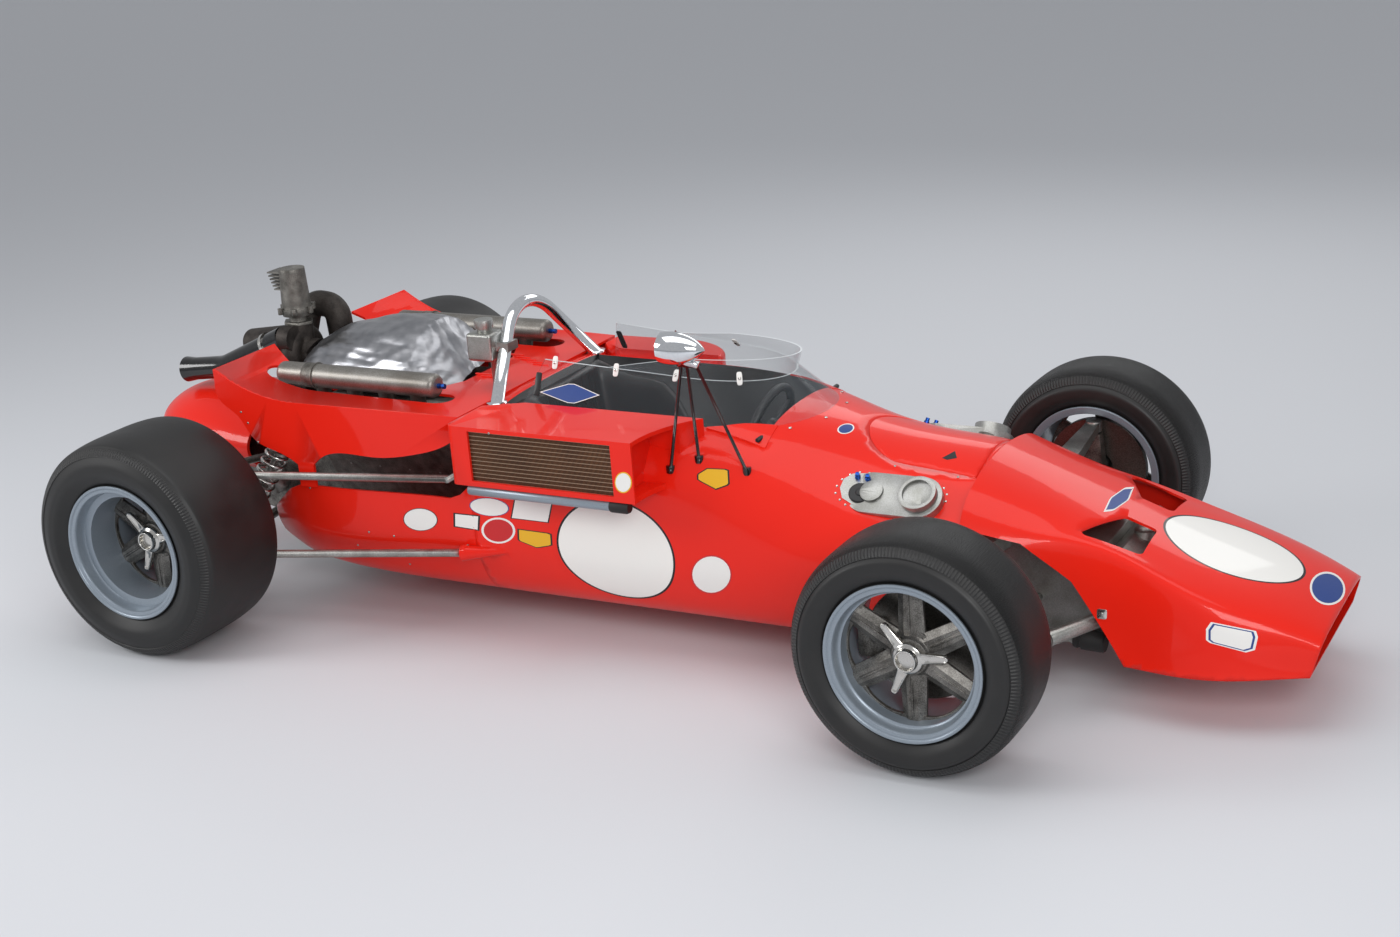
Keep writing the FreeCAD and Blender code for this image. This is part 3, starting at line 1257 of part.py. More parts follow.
def rear_links():
    """Radius rods to the front, lower arm and top link to the gear case, spring top bar."""
    lug_front = REAR_AXLE + REAR_UPRIGHT_HALF + SEAT_GAP
    lug_side = LUG_Y - SEAT_GAP
    low, high = REAR_UPRIGHT_Z
    upper = rod((lug_front + 16, LUG_Y + 16, high - 35), UPPER_ROD_FRONT, ROD_R)
    upper_end = rod((lug_front, LUG_Y + 16, high - 35), (lug_front + 40, LUG_Y + 16, high - 35), ROD_R + 4)
    front = UPPER_ROD_FRONT
    seat_x = TUB_REAR - SEAT_GAP
    bracket = box(front[0] - 14, seat_x, 380, 404, front[2] - 18, front[2] + 18)
    pin = rod((front[0], 390, front[2]), (front[0], front[1] + 14, front[2]), 9)
    lower = rod((lug_front + 16, LUG_Y + 16, low + 25), FAIRING_END, ROD_R)
    lower_end = rod((lug_front, LUG_Y + 16, low + 25), (lug_front + 40, LUG_Y + 16, low + 25), ROD_R + 4)
    fairing = cone(FAIRING_END, FAIRING_TIP, FAIRING_R, 4)
    lower = join([lower, lower_end]).cut(fairing.fuse(hull_loft(BAY_STATIONS, -SEAT_GAP)))
    arm = rod((REAR_AXLE + 15, 80, 245), (REAR_AXLE + 15, lug_side + 10, low + 25), 15)
    saddle = rod((REAR_AXLE, SPRING_LOW[1], SADDLE_Z), (SPRING_LOW[0] + 14, SPRING_LOW[1], SADDLE_Z),
                 SADDLE_R)
    top = rod((REAR_AXLE + 15, 80, 400), (REAR_AXLE + 15, lug_side + 10, high - 35), 12)
    inboard = box(REAR_AXLE - 200, REAR_AXLE + 200, 0, lug_side, 0, 900).cut(gearbox())
    bar = rod((SPRING_TOP[0] + 30, 150, BAR_Z), (SPRING_TOP[0], SPRING_TOP[1] + 20, BAR_Z), BAR_R)
    bar = bar.cut(engine_block().translated(vec(0, SEAT_GAP, 0)))
    return Part.makeCompound([join([upper, upper_end, bracket, pin]), lower,
                              join([arm, saddle]).common(inboard), top.common(inboard), largest(bar)])


def driveshaft():
    """Half shaft from the final drive to the upright, with its two joints."""
    inner = REAR_HUB_Y - REAR_UPRIGHT_THICK - SEAT_GAP
    start = (REAR_AXLE, GEARBOX_HALF + SEAT_GAP, AXLE_Z_REAR - 10)
    end = (REAR_AXLE, inner, AXLE_Z_REAR)
    parts = [rod((start[0], start[1] + 10, start[2]), (REAR_AXLE, inner - 10, AXLE_Z_REAR), SHAFT_R),
             rod(start, (start[0], start[1] + 46, start[2]), 42),
             rod((end[0], end[1] - 46, end[2]), end, 42)]
    return join(parts)


def coil_over():
    """Damper with its coil spring, leaning forward from the lower arm to the top bar."""
    low = vec(*SPRING_LOW)
    high = vec(*SPRING_TOP)
    way = high - low
    length = way.Length
    seat_low = SPRING_EYE_R + 44
    seat_top = length - SPRING_EYE_R - 18
    run = seat_top - seat_low
    helix = Part.makeHelix(run / SPRING_TURNS, run, SPRING_R)
    ring = Part.Wire(Part.makeCircle(SPRING_WIRE_R, vec(SPRING_R, 0, 0), Y_AXIS))
    coil = Part.Wire(helix.Edges).makePipeShell([ring], True, True)
    coil = coil.translated(vec(0, 0, seat_low))
    parts = [coil,
             Part.makeCylinder(SPRING_R + 9, 8, vec(0, 0, seat_low - 7)),
             Part.makeCylinder(SPRING_R + 9, 8, vec(0, 0, seat_top - 1)),
             Part.makeCylinder(9, length - 4, vec(0, 0, 2)),
             Part.makeCylinder(20, length * 0.5, vec(0, 0, SPRING_EYE_R))]
    leg = join(parts)
    leg.rotate(ORIGIN, Z_AXIS.cross(way), math.degrees(Z_AXIS.getAngle(way)))
    leg.translate(low)
    eyes = []
    for x, y, z in (SPRING_LOW, SPRING_TOP):
        eyes.append(rod((x, y - 12, z), (x, y + 12, z), SPRING_EYE_R))
    return join([leg] + eyes)


def steering_rack():
    """Rack bar with a rod eye round each tie pin."""
    bar = rod((TIE_X, -KINGPIN_Y, TIE_Z), (TIE_X, KINGPIN_Y, TIE_Z), RACK_R)
    parts = [bar]
    holes = []
    for y in (-KINGPIN_Y, KINGPIN_Y):
        parts.append(rod((TIE_X, y, TIE_Z - TIE_EYE_H / 2), (TIE_X, y, TIE_Z + TIE_EYE_H / 2),
                         TIE_EYE_R + TIE_EYE_WALL))
        holes.append(rod((TIE_X, y, TIE_Z - 20), (TIE_X, y, TIE_Z + 20), TIE_EYE_R))
    whole = join(parts)
    for hole in holes:
        whole = whole.cut(hole)
    return whole


def place(shape, x, y, z):
    return shape.translated(vec(x, y, z))


def out(name, shape):
    """Write one node in the frame of the whole car."""
    middle = (TAIL_TIP + NOSE_REACH) / 2
    moved = shape.translated(vec(-middle, 0, 0))
    moved.exportStep("parts/%s.step" % name)
    print(name, len(moved.Solids), moved.isValid(), round(moved.Volume / 1e6, 3))


def write_all():
    os.makedirs("parts", exist_ok=True)
    out("nose_cone", nose_cone())
    out("nose_tank", nose_tank())
    out("front_bulkhead", front_bulkhead())
    out("tub", tub())
    out("cowl_hatch", cowl_hatch())
    out("windscreen", windscreen())
    out("wind_deflector", wind_deflector())
    out("roll_hoop", roll_hoop())
    out("header_tank", header_tank())
    out("seat", seat())
    out("dash_panel", dash_panel())
    out("steering_wheel", steering_wheel())
    out("mirror", mirror())
    out("filler_plates", both(filler(1)))
    out("radiator_pod", mirrored(radiator_pod()))
    out("radiator_core", mirrored(radiator_core()))
    out("coolant_pipe", mirrored(coolant_pipe()))
    out("shoulder_fairing", shoulder_fairing())
    out("bay_panels", bay_panels())
    out("engine_cover", engine_cover())
    out("engine_block", engine_block())
    out("gearbox", gearbox())
    out("intake_plenums", both(plenum()))
    out("foil_blanket", foil_blanket())
    turbo = turbocharger()
    out("turbocharger", turbo)
    gate = wastegate(turbo)
    out("wastegate", gate)
    out("exhaust_pipe", exhaust_pipe(turbo, gate))
    out("tail_fairing", tail_fairing())
    out("front_arms", both(front_arms()))
    out("rear_uprights", both(rear_upright()))
    out("rear_links", both(rear_links()))
    out("driveshafts", both(driveshaft()))
    out("coil_overs", both(coil_over()))
    out("steering_rack", steering_rack())
    knuckle = front_knuckle()
    out("front_knuckle_left", knuckle)
    out("front_knuckle_right", mirrored(knuckle))
    write_wheels("front", 0, FRONT_WHEEL_Y, AXLE_Z_FRONT, KINGPIN_Y + UPRIGHT_HALF, FRONT_RIM_W,
                 FRONT_DISH, FRONT_STEP, FRONT_TYRE_W, FRONT_TYRE_R, FRONT_DISC_R)
    write_wheels("rear", REAR_AXLE, REAR_WHEEL_Y, AXLE_Z_REAR, REAR_HUB_Y, REAR_RIM_W,
                 REAR_DISH, REAR_STEP, REAR_TYRE_W, REAR_TYRE_R, REAR_DISC_R)


def write_wheels(where, x, half, z, upright_face, width, dish, step, tyre_width, tyre_r, disc_r):
    """The wheels of one axle with tyres, discs and nuts, left and right."""
    hub_in = upright_face + RUNNING_GAP - half
    pieces = (("wheel", wheel(width, dish, step, hub_in), 0),
              ("tyre", tyre(tyre_width, width, tyre_r), 0),
              ("disc", brake_disc(disc_r), hub_in),
              ("knock_off", knock_off(), width / 2 - dish + HUB_BOSS + SEAT_GAP))
    for kind, shape, inset_y in pieces:
        left = place(shape, x, half + inset_y, z)
        out("%s_%s_left" % (where, kind), left)
        out("%s_%s_right" % (where, kind), mirrored(left))


write_all()
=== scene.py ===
# %% [markdown]
# # Dressing an open wheel racing car
# The solids of the car come in as a fixed frame. They have the right sizes and places, and
# this lesson gives them their surfaces: lacquered panels, cast wheels, rubber, foil and
# chrome. Everything is in metres, in the frame of the solids: X forwards, Y to the car's
# left, Z up from the floor.

# %% The frame of solids
import json
import math
import bmesh
import bpy
import numpy as np
from mathutils import Matrix, Vector
from mathutils.bvhtree import BVHTree

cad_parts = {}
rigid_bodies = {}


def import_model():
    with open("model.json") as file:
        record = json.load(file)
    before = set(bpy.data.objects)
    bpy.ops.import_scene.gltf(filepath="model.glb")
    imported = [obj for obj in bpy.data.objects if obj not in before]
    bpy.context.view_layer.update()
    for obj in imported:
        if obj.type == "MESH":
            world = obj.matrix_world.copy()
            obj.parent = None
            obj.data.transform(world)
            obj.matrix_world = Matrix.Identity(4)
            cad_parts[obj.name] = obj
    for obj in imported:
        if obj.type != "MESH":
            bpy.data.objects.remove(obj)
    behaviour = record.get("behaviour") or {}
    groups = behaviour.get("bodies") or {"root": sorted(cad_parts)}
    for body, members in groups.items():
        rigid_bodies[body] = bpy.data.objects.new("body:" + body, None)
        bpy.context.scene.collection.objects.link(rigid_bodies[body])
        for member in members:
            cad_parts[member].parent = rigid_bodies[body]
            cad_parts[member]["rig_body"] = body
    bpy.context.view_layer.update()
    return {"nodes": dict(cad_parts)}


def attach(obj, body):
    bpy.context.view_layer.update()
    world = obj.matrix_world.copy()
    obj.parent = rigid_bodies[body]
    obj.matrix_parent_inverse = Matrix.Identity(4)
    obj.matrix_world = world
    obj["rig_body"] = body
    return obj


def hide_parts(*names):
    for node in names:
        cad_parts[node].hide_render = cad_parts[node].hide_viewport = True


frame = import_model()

SOLIDS = frame["nodes"]

# %% [markdown]
# Sizes on the car were taken along it from the front axle, in millimetres. The frame has its
# origin under the middle of the car, so one function turns the first into the second. It
# takes whole arrays as well as single points.

# %% From stations to the frame
FRONT_AXLE_X = 1.066
MM = 0.001


def spot(x, y, z):
    """Point in metres: the station along the car times 0.001 and moved by the front axle's place."""
    x, y, z = np.broadcast_arrays(np.asarray(x, float), np.asarray(y, float), np.asarray(z, float))
    return np.stack([x * MM + FRONT_AXLE_X, y * MM, z * MM], -1)


print("front axle at", spot(0, 0, 314))

# %% [markdown]
# The camera stands where the photograph was taken: to the right of the car and ahead of it,
# above head height, a little rolled. Its three directions are worked out from an azimuth, an
# elevation and a roll, and put into one matrix.

# %% The camera
AZIMUTH = math.radians(29.516)
ELEVATION = math.radians(18.723)
ROLL = math.radians(-4.432)
CAMERA_PLACE = (2.91669, -5.01257, 2.39131)
FOCAL_MM = 53.17
SENSOR_MM = 36

back = Vector((math.sin(AZIMUTH) * math.cos(ELEVATION), -math.cos(AZIMUTH) * math.cos(ELEVATION),
               math.sin(ELEVATION)))
level = Vector((math.cos(AZIMUTH), math.sin(AZIMUTH), 0))
upright = back.cross(level)
right = level * math.cos(ROLL) + upright * math.sin(ROLL)
up = upright * math.cos(ROLL) - level * math.sin(ROLL)
camera = bpy.data.objects.new("camera", bpy.data.cameras.new("camera"))
camera.data.lens = FOCAL_MM
camera.data.sensor_width = SENSOR_MM
camera.matrix_world = Matrix.Translation(CAMERA_PLACE) @ Matrix((right, up, back)).transposed().to_4x4()
bpy.context.scene.collection.objects.link(camera)
bpy.context.scene.camera = camera
print("camera at", CAMERA_PLACE)

# %% [markdown]
# Colours are written as they are read off a screen, as hex values. The renderer adds light,
# so it needs them linear. One function does that. Another fills the inputs of a node, and a
# third adds a node to a material, so that a material reads as a short list. A finish is a
# material together with the slot that it belongs to.

# %% Colour and nodes


def linear(hex_colour):
    """Linear red, green, blue and a one: each channel over 255, raised as the screen's curve says."""
    value = np.array([int(hex_colour[i:i + 2], 16) for i in (1, 3, 5)]) / 255
    value = np.where(value <= 0.04045, value / 12.92, ((value + 0.055) / 1.055) ** 2.4)
    return (*value.tolist(), 1.0)


def plug(node, inputs):
    """Fills inputs: a node is linked by its first output, a socket as it is, and a value is set."""
    for key, value in inputs.items():
        if isinstance(value, bpy.types.Node):
            value = value.outputs[0]
        if isinstance(value, bpy.types.NodeSocket):
            node.id_data.links.new(value, node.inputs[key])
        else:
            node.inputs[key].default_value = value


def add(tree, kind, inputs=None, **settings):
    """A node of one kind, with its settings and its inputs."""
    made = tree.nodes.new("ShaderNode" + kind)
    for key, value in settings.items():
        setattr(made, key, value)
    plug(made, inputs or {})
    return made


def blank_material(name):
    """A material with only its output and a surface shader joined to it."""
    made = bpy.data.materials.new(name)
    made.use_nodes = True
    tree = made.node_tree
    tree.nodes.clear()
    out = add(tree, "OutputMaterial")
    shader = add(tree, "BsdfPrincipled")
    plug(out, {0: shader})
    return made, tree, shader


def finish_of(slot, name, light, dark, metallic, rough, grain_mm, bump_mm, rough_spread, coat=0.0,
              grain_mix=0.5, patch_mm=0.0):
    """A worked surface: two colours mixed by noise of one grain, the same noise in its gloss and
    its height. A second, coarser noise may lay patches of wear over it: the two are multiplied,
    and doubled so that the middle tone stays."""
    made, tree, shader = blank_material(name)
    place = add(tree, "TexCoord").outputs["Object"]
    mix_by = add(tree, "TexNoise", {"Vector": place, "Scale": 1000 / grain_mm, "Detail": 4.0})
    if patch_mm:
        patches = add(tree, "TexNoise", {"Vector": place, "Scale": 1000 / patch_mm, "Detail": 3.0})
        mix_by = add(tree, "Math", {0: mix_by, 1: patches}, operation="MULTIPLY")
        mix_by = add(tree, "Math", {0: mix_by, 1: 2.0}, operation="MULTIPLY")
    tone = add(tree, "MapRange", {0: mix_by, 1: 0.5 - grain_mix / 2, 2: 0.5 + grain_mix / 2})
    colour = add(tree, "Mix", {0: tone, 6: linear(dark), 7: linear(light)}, data_type="RGBA")
    gloss = add(tree, "MapRange", {0: mix_by, 3: rough - rough_spread, 4: rough + rough_spread})
    height = add(tree, "Bump", {"Height": mix_by, "Distance": bump_mm * MM, "Strength": 0.5})
    plug(shader, {"Base Color": colour.outputs[2], "Roughness": gloss, "Normal": height,
                  "Metallic": metallic, "Coat Weight": coat})
    return made, slot


print("mid grey in linear light", np.round(linear("#808080"), 3))

# %% [markdown]
# The finishes that need nothing more than two tones and a grain are named for what they are
# on the car. Rolled and cast metals keep their grain and stains; rubber and plastic are
# nearly black with a broad soft gloss.

# %% Plain finishes
# Cast magnesium: dark and dull, with brown stains of heat and oil
magnesium = finish_of("magnesium", "cast magnesium, chromate dipped", "#8C8984", "#45423E", 0.7, 0.4,
                      3.0, 0.25, 0.08, patch_mm=40)
# Blasted aluminium of the wheel's barrel: an even blue grey satin
barrel_alloy = finish_of("satin_aluminium", "spun aluminium, blasted and painted grey", "#97A1AB",
                         "#858F99", 0.4, 0.33, 2.0, 0.05, 0.05)
# Polished steel: bright, with fine hand rubbed scratches
polished = finish_of("polished_steel", "forged steel, polished by hand", "#DCDAD6", "#B9B6B0", 1.0, 0.2,
                     1.5, 0.03, 0.05)
# Chrome plate: a clean mirror with a trace of haze
chrome = finish_of("chrome_plate", "chrome plate on steel tube", "#EDEEF0", "#DDE0E4", 1.0, 0.06, 6.0,
                   0.01, 0.02)
# Plated steel rod: grey and half dull
plated = finish_of("plated_steel", "steel rod, cadmium plated", "#B4B4B0", "#8C8B86", 0.9, 0.33, 4.0,
                   0.05, 0.08, patch_mm=60)
# Satin aluminium of plates and tanks
satin = finish_of("satin_aluminium", "sheet aluminium, satin", "#B6B6B4", "#96968F", 0.9, 0.36, 3.0, 0.06,
                  0.07, patch_mm=70)
# Welded plenums: duller, gone brown grey with heat
plenum_alloy = finish_of("satin_aluminium", "welded aluminium tube, heat dulled", "#9A9792", "#7A756E",
                         0.85, 0.42, 4.0, 0.08, 0.08, patch_mm=80)
# Sand cast housings: rough grey with dirt in the grain
cast_grey = finish_of("cast_housing", "sand cast aluminium housing", "#8F8C86", "#57544F", 0.8, 0.5, 2.2,
                      0.35, 0.08, patch_mm=30)
# Heat blackened iron of the turbine
cast_iron = finish_of("cast_iron_disc", "cast iron, heat blackened", "#4A4440", "#241F1C", 0.6, 0.55, 2.5,
                      0.4, 0.1, patch_mm=30)
# Turned iron of the brake discs: grey, with a fine even grain
disc_iron = finish_of("cast_iron_disc", "turned iron brake disc", "#8B8781", "#5E5952", 0.9, 0.35, 3.0,
                      0.1, 0.08)
# Black baked coat on the exhaust: deep and glossy
black_coat = finish_of("black_coated_steel", "steel pipe, black stove enamel", "#1A1A1C", "#0C0C0D", 0.2,
                       0.16, 12.0, 0.1, 0.06, coat=0.5)
# Black plastic and rubber: nearly black with a broad soft gloss
black_plastic = finish_of("black_plastic", "moulded black plastic", "#1B1B1D", "#101011", 0.0, 0.42, 1.0,
                          0.05, 0.08)
hose_rubber = finish_of("black_plastic", "extruded rubber hose", "#1D1C1C", "#121111", 0.0, 0.6, 1.5, 0.05,
                        0.08)
# Anodised fittings: a clear bright blue over aluminium
blue_fitting = finish_of("satin_aluminium", "anodised aluminium fitting, blue", "#2F63C0", "#1F4795", 0.9,
                         0.28, 2.0, 0.02, 0.05)
print("finishes", len(bpy.data.materials))

# %% [markdown]
# The lacquer is a red enamel under a clear coat, polished, with the slight unevenness that
# sprayed paint keeps. Its bare white roundels are painted on the same surface, so they belong
# in the same material: each is a shape in the piece's own coordinates. A Mapping node turns a
# point into the roundel's own frame, in which its edge lies at a distance of one.

# %% Lacquer with painted roundels
LACQUER_RED, LACQUER_DEEP = "#EE2513", "#E51F10"
ROUNDEL_RINGS = [(1.0, "#1C1A1C"), (0.965, "#F1EFEA")]
ROUNDEL_DEEP = 0.30


def lacquer(name, roundels=()):
    """Red enamel. Each roundel is its centre and half sizes; the length of the vector in its own
    frame picks its rings from the outside in, as a share of the size and a colour."""
    made, tree, shader = blank_material(name)
    place = add(tree, "TexCoord").outputs["Object"]
    fade = add(tree, "TexNoise", {"Vector": place, "Scale": 3.0, "Detail": 3.0})
    base = add(tree, "Mix", {0: fade, 6: linear(LACQUER_RED), 7: linear(LACQUER_DEEP)},
               data_type="RGBA").outputs[2]
    for centre, size in roundels:
        own = add(tree, "Mapping", {"Vector": place, "Location": centre, "Scale": size},
                  vector_type="TEXTURE")
        edge = add(tree, "VectorMath", {0: own}, operation="LENGTH").outputs["Value"]
        for share, colour in ROUNDEL_RINGS:
            inside = add(tree, "Math", {0: edge, 1: share}, operation="LESS_THAN")
            base = add(tree, "Mix", {0: inside, 6: base, 7: linear(colour)}, data_type="RGBA").outputs[2]
    peel = add(tree, "TexNoise", {"Vector": place, "Scale": 1000 / 9, "Detail": 2.0})
    height = add(tree, "Bump", {"Height": peel, "Distance": 0.05 * MM, "Strength": 0.35})
    haze = add(tree, "MapRange", {0: fade, 3: 0.3, 4: 0.42})
    plug(shader, {"Base Color": base, "Roughness": haze, "Normal": height, "Specular IOR Level": 0.12,
                  "Coat Weight": 0.42, "Coat Roughness": 0.05})
    return made, "red_paint"


SIDE_ROUNDELS = [(tuple(spot(-1045.5, side * 405, 322.5)), (0.191, ROUNDEL_DEEP, 0.158)) for side in (-1, 1)]
NOSE_ROUNDELS = [(tuple(spot(584, 0, 372)), (0.185, 0.152, ROUNDEL_DEEP))]
tub_lacquer = lacquer("red enamel with side roundels", SIDE_ROUNDELS)
plain_lacquer = lacquer("red enamel, sprayed and polished")
nose_lacquer = lacquer("red enamel with nose roundel", NOSE_ROUNDELS)
print("roundels on the tub", len(SIDE_ROUNDELS), "on the nose", len(NOSE_ROUNDELS))

# %% [markdown]
# Meshes are made from arrays. A grid of points becomes four sided faces; where the grid closes
# on itself the last row joins the first. Ends are closed by a fan round a middle point, so
# that no piece is open where the real one is solid.

# %% Grids into meshes


def grid_faces(rows, cols, rows_closed=False, cols_closed=False):
    """Corners of each face: a point, its neighbour across, the next row's neighbour and the
    next row's point; a closed way wraps to the start."""
    r, c = np.meshgrid(np.arange(rows if rows_closed else rows - 1),
                       np.arange(cols if cols_closed else cols - 1), indexing="ij")
    r2, c2 = (r + 1) % rows, (c + 1) % cols
    return np.stack([r * cols + c, r * cols + c2, r2 * cols + c2, r2 * cols + c], -1).reshape(-1, 4)


def tube_patch(rings, closed_along=False):
    """Surface round a row of closed rings, its two ends shut by fans unless the row closes too."""
    rows, cols = rings.shape[:2]
    points = rings.reshape(-1, 3)
    faces = [grid_faces(rows, cols, closed_along, True)]
    if not closed_along:
        middles = np.stack([rings[0].mean(0), rings[-1].mean(0)])
        here = np.arange(cols)
        after = (here + 1) % cols
        last = (rows - 1) * cols
        faces.append(np.stack([np.full(cols, rows * cols), after, here], -1))
        faces.append(np.stack([np.full(cols, rows * cols + 1), last + here, last + after], -1))
        points = np.concatenate([points, middles])
    return points, faces


def sheet_patch(grid):
    """Open surface over a grid of points."""
    rows, cols = grid.shape[:2]
    return grid.reshape(-1, 3), [grid_faces(rows, cols)]


def full_turn(count):
    """Angles at even steps all the way round."""
    return np.linspace(0, 2 * math.pi, count, endpoint=False)


def turned_patch(profile, count, closed=True):
    """Profile of (distance along, radius) turned round the Y axis: the radius times the sine and
    cosine of the turn. An open profile that starts and ends at no radius is shut by its own poles."""
    profile = np.asarray(profile, float)
    turn = full_turn(count)[:, None]
    rings = np.stack([profile[:, 1] * np.sin(turn), np.broadcast_to(profile[:, 0], (count, len(profile))),
                      profile[:, 1] * np.cos(turn)], -1)
    return rings.reshape(-1, 3), [grid_faces(count, len(profile), True, closed)]


def moved(patch, to=(0, 0, 0), mirror=False):
    """The patch at another place, on the other side of the car where mirror is set."""
    points = patch[0] * (1, -1, 1) if mirror else patch[0]
    return points + np.asarray(to, float), patch[1]


def both_sides(patches):
    """The patches and their mirror images on the other side of the car."""
    return patches + [moved(p, mirror=True) for p in patches]


def smooth_line(points, per_span):
    """Curve through all the points: on each span the cubic whose slopes are half the difference
    of the neighbours."""
    p = np.asarray(points, float)
    p = np.concatenate([[2 * p[0] - p[1]], p, [2 * p[-1] - p[-2]]])
    t = np.linspace(0, 1, per_span, endpoint=False)[None, :, None]
    a, b, c, d = p[:-3, None], p[1:-2, None], p[2:-1, None], p[3:, None]
    line = b + 0.5 * t * (c - a + t * (2 * a - 5 * b + 4 * c - d + t * (3 * (b - c) + d - a)))
    return np.concatenate([line.reshape(-1, p.shape[1]), p[-2:-1]])


print("a smooth line through 3 points has", len(smooth_line([(0, 0), (1, 1), (2, 0)], 8)), "points")

# %% [markdown]
# Every new piece is finished in the same way: its faces turned outwards, its edges rounded
# smooth below an angle, a bevel where the real edge is broken, its material, and the body that
# it rides on.

# %% From arrays to pieces
TOUCHING = 1e-6


def make_piece(name, patches, finish, body="chassis", stands_for=(), sharp=35, bevel_mm=0.0, turn_out=True):
    """One mesh object out of patches, ready on its body."""
    starts = np.cumsum([0] + [len(p[0]) for p in patches])
    points = np.concatenate([p[0] for p in patches])
    faces = [f for start, (_, groups) in zip(starts, patches) for g in groups for f in (g + start).tolist()]
    mesh = bpy.data.meshes.new(name)
    mesh.from_pydata(points.tolist(), [], faces)
    if turn_out:
        shell = bmesh.new()
        shell.from_mesh(mesh)
        bmesh.ops.remove_doubles(shell, verts=shell.verts, dist=TOUCHING)
        bmesh.ops.recalc_face_normals(shell, faces=shell.faces)
        shell.to_mesh(mesh)
        shell.free()
    return settle(bpy.data.objects.new(name, mesh), finish, body, stands_for, sharp, bevel_mm)


def settle(piece, finish, body, stands_for, sharp, bevel_mm):
    """Shading, bevel, material and body of a new object."""
    material, slot = finish
    bpy.context.scene.collection.objects.link(piece)
    piece.data.shade_smooth()
    piece.data.set_sharp_from_angle(angle=math.radians(sharp))
    if bevel_mm:
        edge = piece.modifiers.new("broken edges", "BEVEL")
        edge.width = bevel_mm * MM
        edge.segments = 2
        edge.limit_method = "ANGLE"
        edge.angle_limit = math.radians(sharp)
        edge.harden_normals = False
    piece.data.materials.clear()
    piece.data.materials.append(material)
    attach(piece, body)
    if stands_for:
        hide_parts(*stands_for)
    return piece


def dressed(solid, finish, sharp=30, bevel_mm=0.0):
    """A smooth copy of a solid whose shape is right: its loose triangles merged, its curved
    faces shaded as one, its edges kept."""
    source = SOLIDS[solid]
    mesh = source.data.copy()
    shell = bmesh.new()
    shell.from_mesh(mesh)
    bmesh.ops.remove_doubles(shell, verts=shell.verts, dist=2 * TOUCHING)
    bmesh.ops.dissolve_degenerate(shell, edges=shell.edges, dist=TOUCHING / 10)
    shell.to_mesh(mesh)
    shell.free()
    piece = bpy.data.objects.new(solid + "_skin", mesh)
    return settle(piece, finish, source["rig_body"], (solid,), sharp, bevel_mm)


def second_finish(piece, finish, chosen):
    """Gives another finish to those faces that a test of all centres and facings picks."""
    polygons = piece.data.polygons
    centres, facings = np.empty(3 * len(polygons)), np.empty(3 * len(polygons))
    polygons.foreach_get("center", centres)
    polygons.foreach_get("normal", facings)
    picked = chosen(centres.reshape(-1, 3), facings.reshape(-1, 3))
    piece.data.materials.append(finish[0])
    polygons.foreach_set("material_index", picked.astype(int))
    return int(picked.sum())


print("the first solid has", len(SOLIDS["nose_cone"].data.polygons), "triangles")

# %% [markdown]
# Most of the car's metal pieces already have their shape in the solids. Each gets a smooth
# copy in its own finish. A small bevel catches the light along sawn and cast edges.

# %% Panels
COCKPIT_MIDDLE, COCKPIT_HALF = spot(-1054, 0, 400), (0.418, 0.266, 0.28)


def looks_inwards(centres, facings):
    """Faces in the cockpit's box that face its middle line: the place over the half sizes is under
    one each way, and its product with the facing is not above zero by more than a little."""
    own = (centres - COCKPIT_MIDDLE) / COCKPIT_HALF
    inside = (np.abs(own).max(1) < 1) & ((own * facings)[:, :2].sum(1) < 0.05) & (own[:, 2] < 0.99)
    return inside & ((facings[:, 2] < 0.6) | (own[:, 2] < 0))


dressed("nose_cone", nose_lacquer, 40)
tub_skin = dressed("tub", tub_lacquer, 40)
# Inside the cockpit the walls are trimmed in black
trimmed = second_finish(tub_skin, black_plastic, looks_inwards)
print("faces of the cockpit's trim", trimmed)
for solid, sharp, bevel_mm in (("cowl_hatch", 40, 0), ("bay_panels", 40, 0), ("engine_cover", 30, 0),
                               ("tail_fairing", 40, 0), ("radiator_pod", 30, 1.5),
                               ("shoulder_fairing", 30, 0)):
    dressed(solid, plain_lacquer, sharp, bevel_mm)

# %% Machine pieces
MIRROR_STRUTS_TOP = 0.8865
for solid, finish, bevel_mm in (
        ("front_bulkhead", satin, 2), ("nose_tank", satin, 2), ("filler_plates", satin, 1),
        ("intake_plenums", plenum_alloy, 0), ("header_tank", satin, 1), ("dash_panel", black_plastic, 0),
        ("engine_block", cast_grey, 3), ("gearbox", magnesium, 3), ("turbocharger", cast_iron, 1),
        ("wastegate", cast_grey, 1), ("exhaust_pipe", black_coat, 0), ("roll_hoop", chrome, 0),
        ("mirror", chrome, 0), ("front_arms", plated, 1.5), ("rear_uprights", magnesium, 2),
        ("rear_links", plated, 0), ("driveshafts", plated, 0), ("steering_rack", plated, 0),
        ("front_knuckle_left", magnesium, 1.5), ("front_knuckle_right", magnesium, 1.5),
        ("steering_wheel", black_plastic, 0), ("front_disc_left", disc_iron, 1),
        ("front_disc_right", disc_iron, 1), ("rear_disc_left", disc_iron, 1),
        ("rear_disc_right", disc_iron, 1)):
    skin = dressed(solid, finish, 30, bevel_mm)
    if solid == "mirror":
        # The mirror's foot plate and struts are black, its shell is chrome
        second_finish(skin, black_coat, lambda centres, facings: centres[:, 2] < MIRROR_STRUTS_TOP)

# %% [markdown]
# The screen is a clear plastic sheet bent round the cockpit. A thin sheet hardly bends light, so
# it needs no refraction: it is nearly see-through where it faces the eye and turns into a mirror
# at a glancing angle. Layer Weight gives that angle, and it drives the shader's alpha. The two
# faces of the sheet and its edges are real, so the edges show as bright lines.

